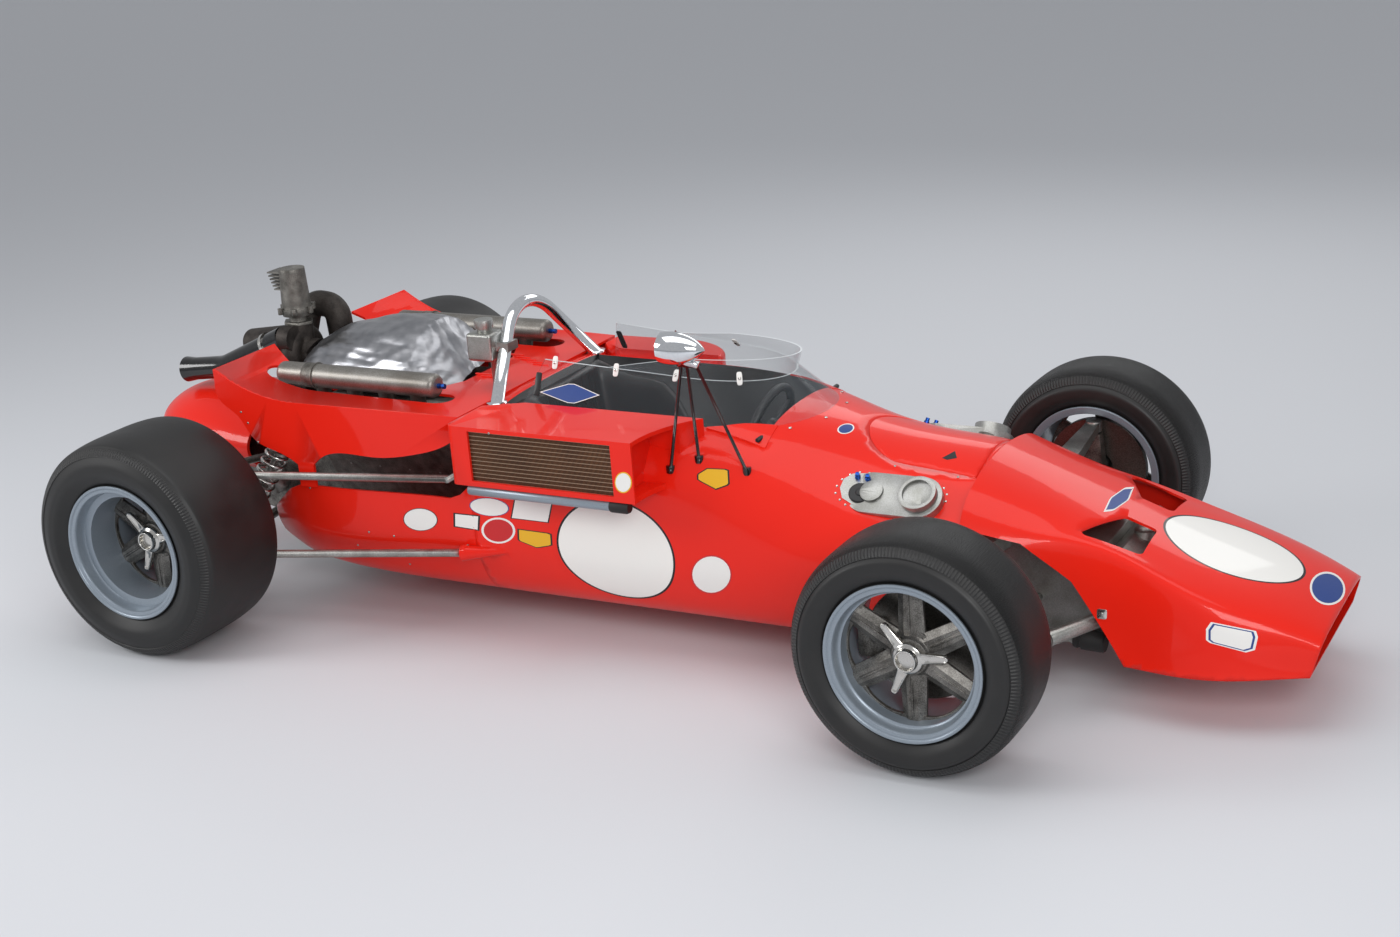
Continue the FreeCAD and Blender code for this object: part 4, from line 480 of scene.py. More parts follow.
# %% Screen
clear_acrylic, tree, shader = blank_material("clear acrylic sheet, heat formed")
glance = add(tree, "LayerWeight", {"Blend": 0.28})
cloud = add(tree, "TexNoise", {"Vector": add(tree, "TexCoord").outputs["Object"], "Scale": 5.0,
                               "Detail": 3.0})
haze = add(tree, "MapRange", {0: cloud, 3: 0.0, 4: 0.03})
thick = add(tree, "Math", {0: glance.outputs["Facing"], 1: 0.34, 2: haze}, operation="MULTIPLY_ADD")
plug(shader, {"Base Color": linear("#8E979E"), "Roughness": 0.05, "IOR": 1.49, "Alpha": thick})
# The sheet's sawn edges look up; they scatter the light and show as pale lines
sawn_edge = finish_of("clear_screen", "sawn acrylic edge", "#E4E8EA", "#C9CED1", 0.0, 0.35, 3.0, 0.02, 0.05)
for sheet in ("windscreen", "wind_deflector"):
    skin = dressed(sheet, (clear_acrylic, "clear_screen"))
    edge_faces = second_finish(skin, sawn_edge, lambda centres, facings: facings[:, 2] > 0.93)
    print(sheet, "has", edge_faces, "faces of sawn edge")

# %% [markdown]
# The radiator's core is a block of flat copper tubes, which lie along the car, with thin fins
# between them. The tubes show as pale rows, and the fins as a fine grid; the gaps between the
# fins are painted near black, as painted shade inside the core.

# %% Radiator core
TUBE_STEP_MM, FIN_STEP_MM = 12, 4
CORE_FOOT, CORE_TOP = 541, 688


def rows_of(tree, part, step_mm, share):
    """One where the distance along an axis, over the step, has a fraction under the share."""
    steps = add(tree, "Math", {0: part, 1: 1000 / step_mm}, operation="MULTIPLY")
    part_of = add(tree, "Math", {0: steps}, operation="FRACT")
    return add(tree, "Math", {0: part_of, 1: share}, operation="LESS_THAN")


oxidised_copper, tree, shader = blank_material("copper fins and tubes, oxidised")
place = add(tree, "TexCoord").outputs["Object"]
parts = add(tree, "SeparateXYZ", {0: place}).outputs
tubes = rows_of(tree, parts["Z"], TUBE_STEP_MM, 0.16)
fins = rows_of(tree, parts["X"], FIN_STEP_MM, 0.4)
stain = add(tree, "TexNoise", {"Vector": place, "Scale": 9.0, "Detail": 4.0})
stained = add(tree, "Mix", {0: stain, 6: linear("#4C2E1A"), 7: linear("#8F5C36")}, data_type="RGBA")
# Between the fins the colour is near black: painted shade in the deep gaps of the core
fins_and_painted_gap_shade = add(tree, "Mix", {0: fins, 6: linear("#2A1C13"), 7: stained.outputs[2]}, data_type="RGBA")
tone = add(tree, "Mix", {0: tubes, 6: fins_and_painted_gap_shade.outputs[2], 7: linear("#A58C76")}, data_type="RGBA")
raised = add(tree, "Math", {0: tubes, 1: fins}, operation="MAXIMUM")
height = add(tree, "Bump", {"Height": raised, "Distance": 2 * MM, "Strength": 0.7})
plug(shader, {"Base Color": tone.outputs[2], "Normal": height, "Metallic": 0.55, "Roughness": 0.45})
dressed("radiator_core", (oxidised_copper, "bronze_core"))
print("tubes in the core", (CORE_TOP - CORE_FOOT) // TUBE_STEP_MM)

# %% [markdown]
# ## Seat
# The seat is foam under black leather, sewn in upright channels, with wings that rise to the
# shoulders. It is one closed form: along the car run an inner line and a wing line, and the
# height across blends from one to the other. The channels are rounded rolls between seams.

# %% Leather and the padded seat
# Sewn leather: nearly black, a soft gloss broken by its grain
leather = finish_of("black_leather", "sewn black leather over foam", "#1D1B1B", "#100F10", 0.0, 0.46, 2.4,
                    0.25, 0.1, coat=0.08)
SEAT_WIDE = 228
ROLL_WIDE, ROLL_HIGH = 47, 8
WING_FROM, WING_OVER = 150, 52
EDGE_FROM, EDGE_OVER, EDGE_FALL = 206, 22, 0.35
SEAT_INNER = smooth_line([(-905, 196), (-1075, 214), (-1262, 318), (-1372, 470), (-1408, 590),
                          (-1418, 676)], 9)
SEAT_WING = smooth_line([(-905, 214), (-1040, 302), (-1120, 498), (-1200, 618), (-1330, 648),
                         (-1440, 682)], 9)
SEAT_UNDER = smooth_line([(-905, 156), (-1080, 156), (-1330, 254), (-1466, 472), (-1466, 580),
                          (-1466, 668)], 9)


def seat_patch():
    """Rings across the seat: y runs over the top from right to left and back below. The height of
    the wing is blended in by a smooth step of the distance from the middle, the outer edge falls
    towards the underside, and each roll adds one minus the fourth power of the distance from its
    middle."""
    y = np.linspace(-1, 1, 97)[None, :] * SEAT_WIDE
    blend = np.clip((np.abs(y) - WING_FROM) / WING_OVER, 0, 1)
    blend = (blend * blend * (3 - 2 * blend))[..., None]
    fall = np.clip((np.abs(y) - EDGE_FROM) / EDGE_OVER, 0, 1)[..., None] ** 2 * EDGE_FALL
    top = (1 - blend) * SEAT_INNER[:, None] + blend * SEAT_WING[:, None]
    top = (1 - fall) * top + fall * SEAT_UNDER[:, None]
    in_roll = ((y + ROLL_WIDE / 2) / ROLL_WIDE) % 1 * 2 - 1
    along = np.linspace(0, 1, len(SEAT_INNER))[:, None]
    ends = np.clip(np.minimum(along * 8, (1 - along) * 8), 0, 1)
    puff = ROLL_HIGH * (1 - in_roll ** 4) * ends
    way = np.gradient(SEAT_INNER, axis=0)
    out_way = np.stack([-way[:, 1], way[:, 0]], -1)
    out_way = out_way / np.linalg.norm(out_way, axis=1)[:, None]
    out_way = out_way * np.where(out_way[:, 1:] < 0, -1, 1)
    top = top + puff[..., None] * out_way[:, None]
    low_y = np.array([1, 0.5, 0, -0.5, -1])[None, :] * SEAT_WIDE
    low = np.broadcast_to(SEAT_UNDER[:, None], (len(SEAT_UNDER), 5, 2))
    full_y = np.concatenate([np.broadcast_to(y, top.shape[:2]), np.broadcast_to(low_y, low.shape[:2])], 1)
    both = np.concatenate([top, low], 1)
    return tube_patch(spot(both[..., 0], full_y, both[..., 1]))


seat_piece = make_piece("padded_seat", [seat_patch()], leather, stands_for=("seat",), sharp=80)
print("seat points", len(seat_piece.data.vertices))

# %% [markdown]
# ## Heat blanket
# A sheet of aluminium foil is laid over the engine against the heat of the exhaust. Crumpled
# foil is made of small flat facets between sharp creases. A sum of triangle waves in several
# directions gives just that: each wave is flat on both sides of its crease. The sheet only
# ever sinks from the smooth hump, so it stays inside its solid.

# %% Crumpled foil
# Foil: bright silver and grey patches laid by noise, painted light and shade standing for facets turned to or
# from the light
foil = finish_of("foil", "aluminium foil, crumpled", "#B4B4B7", "#84868B", 1.0, 0.33, 40.0, 0.5, 0.1,
                 grain_mix=0.8)
BLANKET = np.array([(-2368, 105, 722), (-2300, 150, 782), (-2190, 200, 824), (-2070, 218, 850),
                    (-1900, 222, 864), (-1838, 214, 842), (-1735, 150, 718)], float)
BLANKET_LOW = 641.0
# Each set of creases: the depth it sinks, its count of waves, its seed, its longest and shortest wave
CREASES = [(20, 6, 11, 380, 100), (9, 7, 5, 120, 26)]


def crease_height(points, count, seed, longest, shortest):
    """Sum of triangle waves: for each, the distance along a random direction over its length, its
    fraction folded about the middle, weighted by the length; scaled to run from zero to one."""
    draw = np.random.default_rng(seed)
    total = np.zeros(points.shape[:-1])
    for length in np.geomspace(longest, shortest, count):
        way = draw.normal(size=3)
        way /= np.linalg.norm(way)
        bend = 0.35 * np.sin(points @ draw.normal(size=3) / longest * 2 + draw.uniform(0, 6))
        fold = (points @ way / length + bend + draw.uniform()) % 1
        total += np.abs(fold - 0.5) * 2 * length ** 0.8
    return (total - total.min()) / (total.max() - total.min())


def blanket_patch():
    """Hump through the stations: at each, y is the half width times the cosine and z the rise times
    the sine of an angle; the sheet stops short of the foot, with an uneven hem."""
    line = smooth_line(BLANKET, 22)
    x, half, high = line[:, 0, None], line[:, 1, None], line[:, 2, None]
    hem = 0.16 + 0.05 * np.sin(np.linspace(0, 21, len(line)))[:, None]
    angle = np.linspace(0, 1, 150)[None, :] * (math.pi - 2 * hem) + hem
    y = half * np.cos(angle)
    z = BLANKET_LOW + (high - BLANKET_LOW) * np.sin(angle)
    smooth = np.stack(np.broadcast_arrays(x, y, z), -1)
    sink = sum(depth * crease_height(smooth, *waves) for depth, *waves in CREASES)
    middle = np.stack(np.broadcast_arrays(x, 0 * y, 0 * z + BLANKET_LOW), -1)
    way = middle - smooth
    way = way / np.linalg.norm(way, axis=-1, keepdims=True)
    return smooth + way * sink[..., None]


blanket_points = blanket_patch()
blanket = make_piece("foil_sheet", [sheet_patch(spot(*np.moveaxis(blanket_points, -1, 0)))], foil,
                     stands_for=("foil_blanket",), sharp=24, turn_out=False)

# %% [markdown]
# ## Tyres
# A racing tyre is a body of revolution: bead, flat sidewall, a notched shoulder band and a
# broad crown. The outline is drawn for one half, smoothed, mirrored and turned. Its own UV
# map runs round the tyre and across it in metres, so that notches and tread dashes follow the
# surface and turn with the wheel.

# %% Rubber with notches and dashes


NOTCH_MM = 3.18
WAVES_PER_UNIT = 10


def tyre_rubber(name, dashes):
    """Nearly black rubber. Notches: a square wave along the way round, between two distances from
    the crown's middle. Dashes: short cuts in rows, on the crown only."""
    made, tree, shader = blank_material(name)
    way = add(tree, "UVMap", uv_map="round_and_across")
    place = add(tree, "TexCoord").outputs["Object"]
    across = add(tree, "SeparateXYZ", {0: way}).outputs["Y"]
    shoulder = add(tree, "Math", {0: across, 1: 1.5, 2: 0.45}, operation="COMPARE")
    rib_way = add(tree, "VectorMath", {0: way, 1: (1000 / NOTCH_MM / WAVES_PER_UNIT, 0, 0)},
                  operation="MULTIPLY")
    ribs = add(tree, "TexWave", {"Vector": rib_way, "Scale": 1.0, "Distortion": 0.0, "Detail": 0.0},
               wave_type="BANDS", bands_direction="X")
    height = add(tree, "Math", {0: ribs.outputs[1], 1: shoulder}, operation="MULTIPLY")
    if dashes:
        cells = add(tree, "TexBrick", {"Vector": way, "Scale": 1.0, "Color1": (1, 1, 1, 1),
                                       "Color2": (1, 1, 1, 1), "Mortar": (0, 0, 0, 1),
                                       "Mortar Size": 0.0011, "Brick Width": 0.016,
                                       "Row Height": 0.0065})
        crown = add(tree, "Math", {0: across, 1: 1.0}, operation="LESS_THAN")
        cuts = add(tree, "Math", {0: cells.outputs[1], 1: crown}, operation="MULTIPLY")
        height = add(tree, "Math", {0: height, 1: cuts}, operation="SUBTRACT")
    scuff = add(tree, "TexNoise", {"Vector": place, "Scale": 14.0, "Detail": 6.0})
    colour = add(tree, "Mix", {0: scuff, 6: linear("#101011"), 7: linear("#232221")}, data_type="RGBA")
    # The relief is painted into the colour as well: painted light on the raised notch ribs, painted shade in
    # the cuts of the dashes
    shade = add(tree, "MapRange", {0: height, 1: -1.0, 2: 1.0, 3: 0.2, 4: 1.8})
    colour = add(tree, "Mix", {0: 1.0, 6: colour.outputs[2], 7: shade}, data_type="RGBA",
                 blend_type="MULTIPLY")
    gloss = add(tree, "MapRange", {0: scuff, 3: 0.38, 4: 0.62})
    bump = add(tree, "Bump", {"Height": height, "Distance": 2.0 * MM, "Strength": 1.0})
    fine = add(tree, "TexNoise", {"Vector": place, "Scale": 900.0})
    bump = add(tree, "Bump", {"Height": fine, "Distance": 0.1 * MM, "Strength": 0.3, "Normal": bump})
    plug(shader, {"Base Color": colour.outputs[2], "Roughness": gloss, "Normal": bump})
    return made, "tyre_rubber"


front_rubber = tyre_rubber("moulded tyre rubber, fine dashed tread", True)
rear_rubber = tyre_rubber("moulded tyre rubber, slick", False)
print("rubber:", front_rubber[0].name, "and", rear_rubber[0].name)

# %% The four tyres
# Each end of the car: the axle's station, distance from the middle and height, the tyre's
# width, the rim's width, the tyre's radius and its rubber
AXLES = {"front": (0, 723, 314, 256, 238, 314, front_rubber),
         "rear": (-2442, 735, 336, 352, 325, 336, rear_rubber)}
BEAD_R = 190.8
LIP_R = 208.0
TYRE_STEPS = 160


def at_corners(kind):
    """At each corner of the car: its end and side, its axle's place and the body of its solid."""
    for end, (x, y, z, *_) in AXLES.items():
        for side, sign in (("left", 1), ("right", -1)):
            yield end, side, spot(x, sign * y, z), SOLIDS[f"{end}_{kind}_{side}"]["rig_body"]


def tyre_outline(width, rim_width, radius):
    """Half outline from the crown's middle to the bead: distance across and radius, with the
    zone of each point: 0 to 1 the crown, 1 to 2 the shoulder band, 2 to 3 the sidewall."""
    w = width / 2
    b = rim_width / 2 - 13
    bulge = LIP_R + (radius - LIP_R) * 0.42
    crown = smooth_line([(0, radius), (w * 0.45, radius - 1), (w - 40, radius - 7), (w - 24, radius - 15)], 6)
    band = smooth_line([(w - 24, radius - 15), (w - 15, radius - 23), (w - 8, radius - 36)], 4)
    wall = smooth_line([(w - 9.5, radius - 37.5), (w - 1, bulge + 14), (w, bulge), (w - 3, bulge - 18),
                        (b + 6, LIP_R + 6), (b, LIP_R + 2), (b, BEAD_R)], 5)
    zones = np.concatenate([np.linspace(0, 1, len(crown))[:-1], np.linspace(1, 2, len(band)),
                            np.linspace(2, 3, len(wall))])
    return np.concatenate([crown[:-1], band, wall]), zones


def tyre_piece(end, side, centre, body):
    """The outline and its mirror, joined behind by the inner wall, turned round the axle."""
    *_, width, rim_width, radius, rubber = AXLES[end]
    half, zones = tyre_outline(width, rim_width, radius)
    inner = np.array([(-rim_width / 2 + 24, BEAD_R), (-width / 2 + 11, (LIP_R + radius) / 2 - 5),
                      (0, radius - 16), (width / 2 - 11, (LIP_R + radius) / 2 - 5),
                      (rim_width / 2 - 24, BEAD_R)])
    outline = np.concatenate([half[::-1], half[1:] * (-1, 1), inner])
    zone = np.concatenate([zones[::-1], zones[1:], np.full(len(inner), 4.0)])
    tyre = turned_patch(outline * MM, TYRE_STEPS)
    solid = f"{end}_tyre_{side}"
    piece = make_piece("worn_" + solid, [moved(tyre, centre)], rubber, body, (solid,), 50)
    layer = piece.data.uv_layers.new(name="round_and_across")
    corners = np.empty(len(piece.data.loops), int)
    piece.data.loops.foreach_get("vertex_index", corners)
    around = np.repeat(np.arange(TYRE_STEPS), len(outline)) / TYRE_STEPS
    per_face = around[corners].reshape(-1, 4)
    seam = (per_face.max(1) - per_face.min(1)) > 0.5
    per_face = np.where(seam[:, None] & (per_face < 0.5), per_face + 1, per_face)
    across = np.tile(zone, TYRE_STEPS)[corners]
    uv = np.stack([per_face.reshape(-1) * 2 * math.pi * radius * MM, across], -1)
    layer.data.foreach_set("uv", uv.reshape(-1))
    return piece


for corner in at_corners("tyre"):
    tyre = tyre_piece(*corner)
print("tyres made; each has", len(tyre.data.polygons), "faces")

# %% [markdown]
# ## Wheels
# Each wheel is a spun barrel with a cast centre: six spokes with sloping flanks and a thin rib
# down the middle, webs that round off the windows, and a boss. The barrel is a turned outline.
# A spoke is one cross section carried outwards from the hub, which is simpler to keep clean
# than cutting windows out of a disc.

# %% Barrel and spokes
# Each end's rim width, the dish of its centre, and the depth and radius of the rim's step
WHEEL_SIZES = {"front": (238, 62, 34, 174), "rear": (325, 140, 46, 160)}
SPOKES = 6
TURNS = 144
ROUND_STEPS = 72
HUB_R = 38
BOSS = [(-20, 26.5), (-20, 60), (-3, 56), (0, 52), (4, 49), (9, 47), (10, 45), (10, 26.5)]


def carried(turn, r, across, deep):
    """Cross sections carried outwards at a turn: the radius along the way out, plus the distance
    across it, plus the depth along the axle."""
    out_way = np.array([math.sin(turn), 0, math.cos(turn)])
    side_way = np.array([math.cos(turn), 0, -math.sin(turn)])
    rings = r[..., None] * out_way + across[..., None] * side_way + deep[..., None] * (0, 1, 0)
    return tube_patch(rings * MM)


def barrel_outline(width, dish, step_deep, step_r):
    """Closed outline of distance along the axle and radius: the rounded bead, the ledge, the step
    down to the barrel, and back along the outer side."""
    w = width / 2
    back = w - dish - 34
    seen = [(w - 8, 206), (w - 6, 207.6), (w - 3.5, 208), (w - 1.4, 207.3), (w - 0.3, 205), (w - 0.5, 202),
            (w - 2, 199.5), (w - 4, 198.2), (w - 4.6, 196.5), (w - 4, 194.8), (w - 4.4, 191), (w - 6, 187),
            (w - 9, 184.9), (w - 14, 184), (w - step_deep + 13, 183), (w - step_deep + 8, 181.8),
            (w - step_deep + 4, 179.6), (w - step_deep + 1.2, step_r + 3), (w - step_deep, step_r),
            (back, step_r)]
    rear = [(-w + 44, 180.5), (-w + 10, 184), (-w + 5, 190), (-w + 1, 203), (-w + 0.4, 206), (-w + 2.5, 208),
            (-w + 6, 208), (-w + 9, 205), (-w + 10, 190.5), (-w + 42, 190.5), (-w + 50, 186.5)]
    bed = [(back - 6, step_r + 6), (w - step_deep - 6, step_r + 6), (w - step_deep, 186.5), (w - 12, 190.5),
           (w - 9.5, 194)]
    return np.array(seen + rear + bed, float)


def spoke_patch(turn, face, outer):
    """One spoke: its cross section, twelve points of distance across and depth, is carried from the
    hub to the barrel; the half width of its foot and of its top and the rib's height change on the way."""
    share = np.linspace(0, 1, 15)[:, None]
    r = HUB_R + (outer + 1 - HUB_R) * share
    foot = 36 - 5 * share
    top = 19 - 4 * share
    rib = 4.2 * np.clip(np.minimum((share - 0.16) * 9, (0.95 - share) * 12), 0, 1)
    zero = np.zeros_like(share)
    across = np.concatenate([-foot, -foot, -top, -top + 2.5, zero - 3.6, zero - 2.2, zero + 2.2, zero + 3.6,
                             top - 2.5, top, foot, foot], 1)
    deep = np.concatenate([zero - 20, zero - 12, zero - 1.8, zero, zero, rib, rib, zero, zero, zero - 1.8,
                           zero - 12, zero - 20], 1)
    return carried(turn, r, across, face + deep)


def web_patch(face, inner, outer, outer_swing, low, high):
    """Plate round the hub or inside the barrel: a closed outline of four radii, of which the outer
    one (or the inner, where the swing is negative) moves with the cosine of the spokes' turn."""
    turn = full_turn(TURNS)[:, None]
    near = np.cos(SPOKES * turn / 2) ** 4
    far_r = outer + (outer_swing * near if outer_swing > 0 else 0 * near)
    near_r = inner + (outer_swing * near if outer_swing < 0 else 0 * near)
    r = np.concatenate([near_r, far_r, far_r, near_r], 1)
    y = np.array([high, high, low, low])[None, :] + face + 0 * r
    rings = np.stack([r * np.sin(turn), y, r * np.cos(turn)], -1) * MM
    return rings.reshape(-1, 3), [grid_faces(TURNS, 4, True, True)]


def wheel_pieces(end, side, centre, body):
    """Barrel and centre of one wheel, made at the left and mirrored for the right."""
    width, dish, step_deep, step_r = WHEEL_SIZES[end]
    face = width / 2 - dish
    flip = side == "right"
    barrel = turned_patch(barrel_outline(width, dish, step_deep, step_r) * MM, TURNS)
    solid = f"{end}_wheel_{side}"
    make_piece(f"barrel_{solid}", [moved(barrel, centre, flip)], barrel_alloy, body, sharp=32)
    spokes = [spoke_patch(2 * math.pi * i / SPOKES, face, step_r) for i in range(SPOKES)]
    webs = [web_patch(face, 26.5, 66, 16, -16, -5), web_patch(face, step_r - 4, step_r + 2, -9, -18, -7)]
    boss = turned_patch((np.array(BOSS) + (face, 0)) * MM, ROUND_STEPS)
    make_piece("spokes_" + solid, [moved(p, centre, flip) for p in spokes + webs + [boss]], magnesium, body,
               (solid,), 28, 0.8)


for corner in at_corners("wheel"):
    wheel_pieces(*corner)
print("wheel centres made with", SPOKES, "spokes each")

# %% [markdown]
# The knock-off nut is forged, with three ears that taper outwards. Each ear has a raised edge
# round a sunk middle, so its cross section has two lips; it is carried outwards and closed by a
# round tip. The middle of the nut is a short tube with a cap inside.

# %% Knock-off nuts
EAR_LONG, EAR_ROOT = 106, 30
EAR_TIP = 0.88
NUT = [(0, 0), (0, 38), (2, 40), (11, 40), (13.5, 38), (15, 33), (17, 30), (28, 29), (30, 27.5),
       (30, 24.5), (28, 23), (14, 23), (13, 21), (13.5, 0)]
EAR_TURNS = {"front": 37, "rear": 43}


def ear_patch(turn, face):
    """One ear: half width and lip height fall from root to tip, and both close in the last eighth
    by the root of one minus the square."""
    close_in = EAR_TIP + (1 - EAR_TIP) * np.sin(np.linspace(0.2, 1, 7) * math.pi / 2)
    share = np.concatenate([np.linspace(0, EAR_TIP, 12), close_in])[:, None]
    r = EAR_ROOT + (EAR_LONG - EAR_ROOT) * share
    close = np.sqrt(np.clip(1 - (np.clip(share - EAR_TIP, 0, 1) / (1 - EAR_TIP)) ** 2, 0.02, 1))
    half = (14 - 6.0 * share) * close + 7 * np.clip(0.2 - share, 0, 1)
    lip = 2.4 * np.clip(np.minimum((share - 0.18) * 14, (0.93 - share) * 20), 0, 1)
    thick = (13 - 3 * share) * (0.55 + 0.45 * close)
    rise = 5 * share ** 2
    across = np.concatenate([-half, -half, -half * 0.8, -half * 0.55, half * 0.55, half * 0.8, half, half], 1)
    deep = np.concatenate([rise, rise + thick - 2, rise + thick, rise + thick - lip, rise + thick - lip,
                           rise + thick, rise + thick - 2, rise], 1) + face
    return carried(turn, r, across, deep)


def nut_piece(end, side, centre, body):
    """Flange, tube with its cap, and three ears."""
    width, dish, *_ = WHEEL_SIZES[end]
    face = width / 2 - dish + 10
    flip = side == "right"
    nut = turned_patch((np.array(NUT) + (face, 0)) * MM, ROUND_STEPS, False)
    lean = math.radians(-EAR_TURNS[end] if flip else EAR_TURNS[end])
    ears = [ear_patch(lean + 2 * math.pi * i / 3, face) for i in range(3)]
    solid = f"{end}_knock_off_{side}"
    make_piece("forged_" + solid, [moved(p, centre, flip) for p in [nut] + ears], polished, body, (solid,),
               40, 0.8)


for corner in at_corners("knock_off"):
    nut_piece(*corner)
print("nuts made with ears of", EAR_LONG, "mm")

# %% [markdown]
# ## Fittings placed one by one
# Small fittings are placed from the picture: a point of it gives a line of sight from the
# camera, and where that line first meets the solids gives the place and the way the surface
# faces. So every rivet sits on its panel, seen from any side. Twins on the far side of the car
# are the same places mirrored.

# %% Lines of sight
PICTURE_WIDE, PICTURE_MIDDLE = 1400, (700, 468.5)
PIXELS = FOCAL_MM / SENSOR_MM * PICTURE_WIDE
SEARCH = {}
PAPER_SHARES = (1.0, 0.66, 0.33, 0.06)


def sight(px, py, *names):
    """Place and facing where the line of sight meets the named solids: the camera's way forward,
    plus the point's offsets from the picture's middle over the focal length in pixels."""
    way = (right * ((px - PICTURE_MIDDLE[0]) / PIXELS) + up * ((PICTURE_MIDDLE[1] - py) / PIXELS)
           - back).normalized()
    hits = []
    for name in names:
        if name not in SEARCH:
            shell = bmesh.new()
            shell.from_mesh(SOLIDS[name].data)
            SEARCH[name] = BVHTree.FromBMesh(shell)
            shell.free()
        place, facing, _, far = SEARCH[name].ray_cast(Vector(CAMERA_PLACE), way)
        if place is not None:
            hits.append((far, np.array(place), np.array(facing)))
    if not hits:
        raise ValueError(f"no surface at {px}, {py} on {names}")
    return min(hits, key=lambda hit: hit[0])[1:]


def twins(spots):
    """The same places with their mirror images on the other side of the car."""
    return spots + [(place * (1, -1, 1), facing * (1, -1, 1)) for place, facing in spots]


def own_ways(facing, along=(1, 0, 0)):
    """Two directions square to the facing: the given one made level with it, and their cross product."""
    first = np.asarray(along, float) - facing * np.dot(along, facing)
    first = first / np.linalg.norm(first)
    return first, np.cross(facing, first)


def studs(name, spots, outline, finish, count=10):
    """Small turned fittings: at each place the outline's radius times the sine and cosine of the
    turn, along two directions square to the facing, plus its height along the facing."""
    turn = full_turn(count)[:, None]
    outline = np.asarray(outline, float)[..., None, None] * MM
    patches = []
    for place, facing in spots:
        first, second = own_ways(facing, (0.83, 0.31, 0.47))
        ring = np.sin(turn) * first + np.cos(turn) * second
        patches.append(tube_patch(place + outline[:, 1] * ring + outline[:, 0] * facing))
    return make_piece(name, patches, finish)


def tile_patch(spot_on, half, height, along=(1, 0, 0), power=6.0, draw_in=1.0):
    """Low plate on a surface: a superellipse of two half sizes, its foot sunk 1 mm, its top edge
    drawn in; power 2 is an oval and a high power nearly a rectangle."""
    place, facing = spot_on
    first, second = own_ways(facing, along)
    turn = full_turn(32)
    flat = np.stack([np.sign(np.cos(turn)) * np.abs(np.cos(turn)) ** (2 / power),
                     np.sign(np.sin(turn)) * np.abs(np.sin(turn)) ** (2 / power)], -1)
    rows = []
    for inset, rise in ((0, -1.0), (0, height - draw_in * 0.5), (draw_in, height)):
        shape = flat * (np.asarray(half, float) - inset) * MM
        rows.append(place + shape[:, :1] * first + shape[:, 1:] * second + rise * MM * facing)
    return tube_patch(np.stack(rows))


def row_of(start, end, count, *names):
    """Places at even steps between two points of the picture."""
    steps = np.linspace(0, 1, count)[:, None]
    points = np.asarray(start, float) * (1 - steps) + np.asarray(end, float) * steps
    return [sight(px, py, *names) for px, py in points.tolist()]


def paper_patch(corners, count, lift_mm, *names):
    """Thin mark laid on a surface: an outline of picture points is filled with rings shrinking to
    its middle, and each point is set on the surface by the line of sight and lifted a little."""
    corners = np.asarray(corners, float)
    closed = np.concatenate([corners, corners[:1]])
    steps = np.linspace(0, len(corners), count, endpoint=False)
    edge = np.stack([np.interp(steps, np.arange(len(closed)), closed[:, k]) for k in (0, 1)], -1)
    middle = corners.mean(0)
    rows = []
    for share in PAPER_SHARES:
        ring = [sight(px, py, *names) for px, py in (middle + (edge - middle) * share).tolist()]
        rows.append([place + facing * lift_mm * MM for place, facing in ring])
    rings = np.array(rows)
    last = len(rings) - 1
    here = np.arange(count)
    fan = np.stack([np.full(count, len(rings) * count), last * count + here,
                    last * count + (here + 1) % count], -1)
    faces = [grid_faces(len(rings), count, False, True), fan]
    return np.concatenate([rings.reshape(-1, 3), rings[-1].mean(0)[None]]), faces


def drop(x, y, name, height=1500):
    """Place and facing where a plumb line at a station and a distance from the middle meets a solid."""
    place, facing, _, _ = SEARCH[name].ray_cast(Vector(spot(x, y, height)), Vector((0, 0, -1)))
    return np.array(place), np.array(facing)


def oval(centre, half, tilt=0.0, count=28):
    """Outline in picture points: half sizes times cosine and sine, turned by the tilt in degrees."""
    turn = full_turn(count)
    lean = math.radians(tilt)
    flat = np.stack([half[0] * np.cos(turn), half[1] * np.sin(turn)], -1)
    return flat @ np.array([[math.cos(lean), math.sin(lean)], [-math.sin(lean), math.cos(lean)]]) + centre


print("line of sight to the nose", np.round(sight(1234, 547, "nose_cone")[0], 3))

# %% [markdown]
# The two fuel fillers are alloy plates let into the body's shoulders, each with a small vent
# cap and a big screwed cap, inside a ring of rivets. The near plate's outline is taken from the
# picture; the far one is its mirror image.

# %% Filler plates, caps and rivets
PLATE = [(853, 474), (870, 473.5), (900, 476.5), (925, 480), (936, 483), (942, 490), (941, 500), (932, 508),
         (915, 512), (890, 510.5), (868, 507.5), (852, 504.5), (842, 498), (840, 488), (844, 479)]
plate_sheet = paper_patch(PLATE, 45, 2.0, "tub")
make_piece("filler_sheets", both_sides([plate_sheet]), satin, stands_for=("filler_plates",), sharp=30)
BIG_CAP = [(-2, 50), (7, 50), (10, 47), (11, 42), (10, 38), (6, 36), (5, 24), (8, 20), (8, 1)]
SMALL_CAP = [(-2, 31), (4, 31), (7, 28), (7, 12), (10, 9), (10, 1)]
UNION = [(-2, 8), (10, 8), (12, 6), (20, 6), (21, 1)]
studs("screwed_caps", twins([sight(922.4, 496.4, "tub")]), BIG_CAP, cast_grey, 40)
studs("vent_caps", twins([sight(860, 493.6, "tub")]), SMALL_CAP, black_plastic, 28)
studs("vent_unions", twins([sight(858, 478, "tub"), sight(868, 480, "tub")]), UNION, blue_fitting, 12)
RIVET = [(-1, 3.6), (0.6, 3.6), (1.8, 2.4), (2.2, 0.4)]
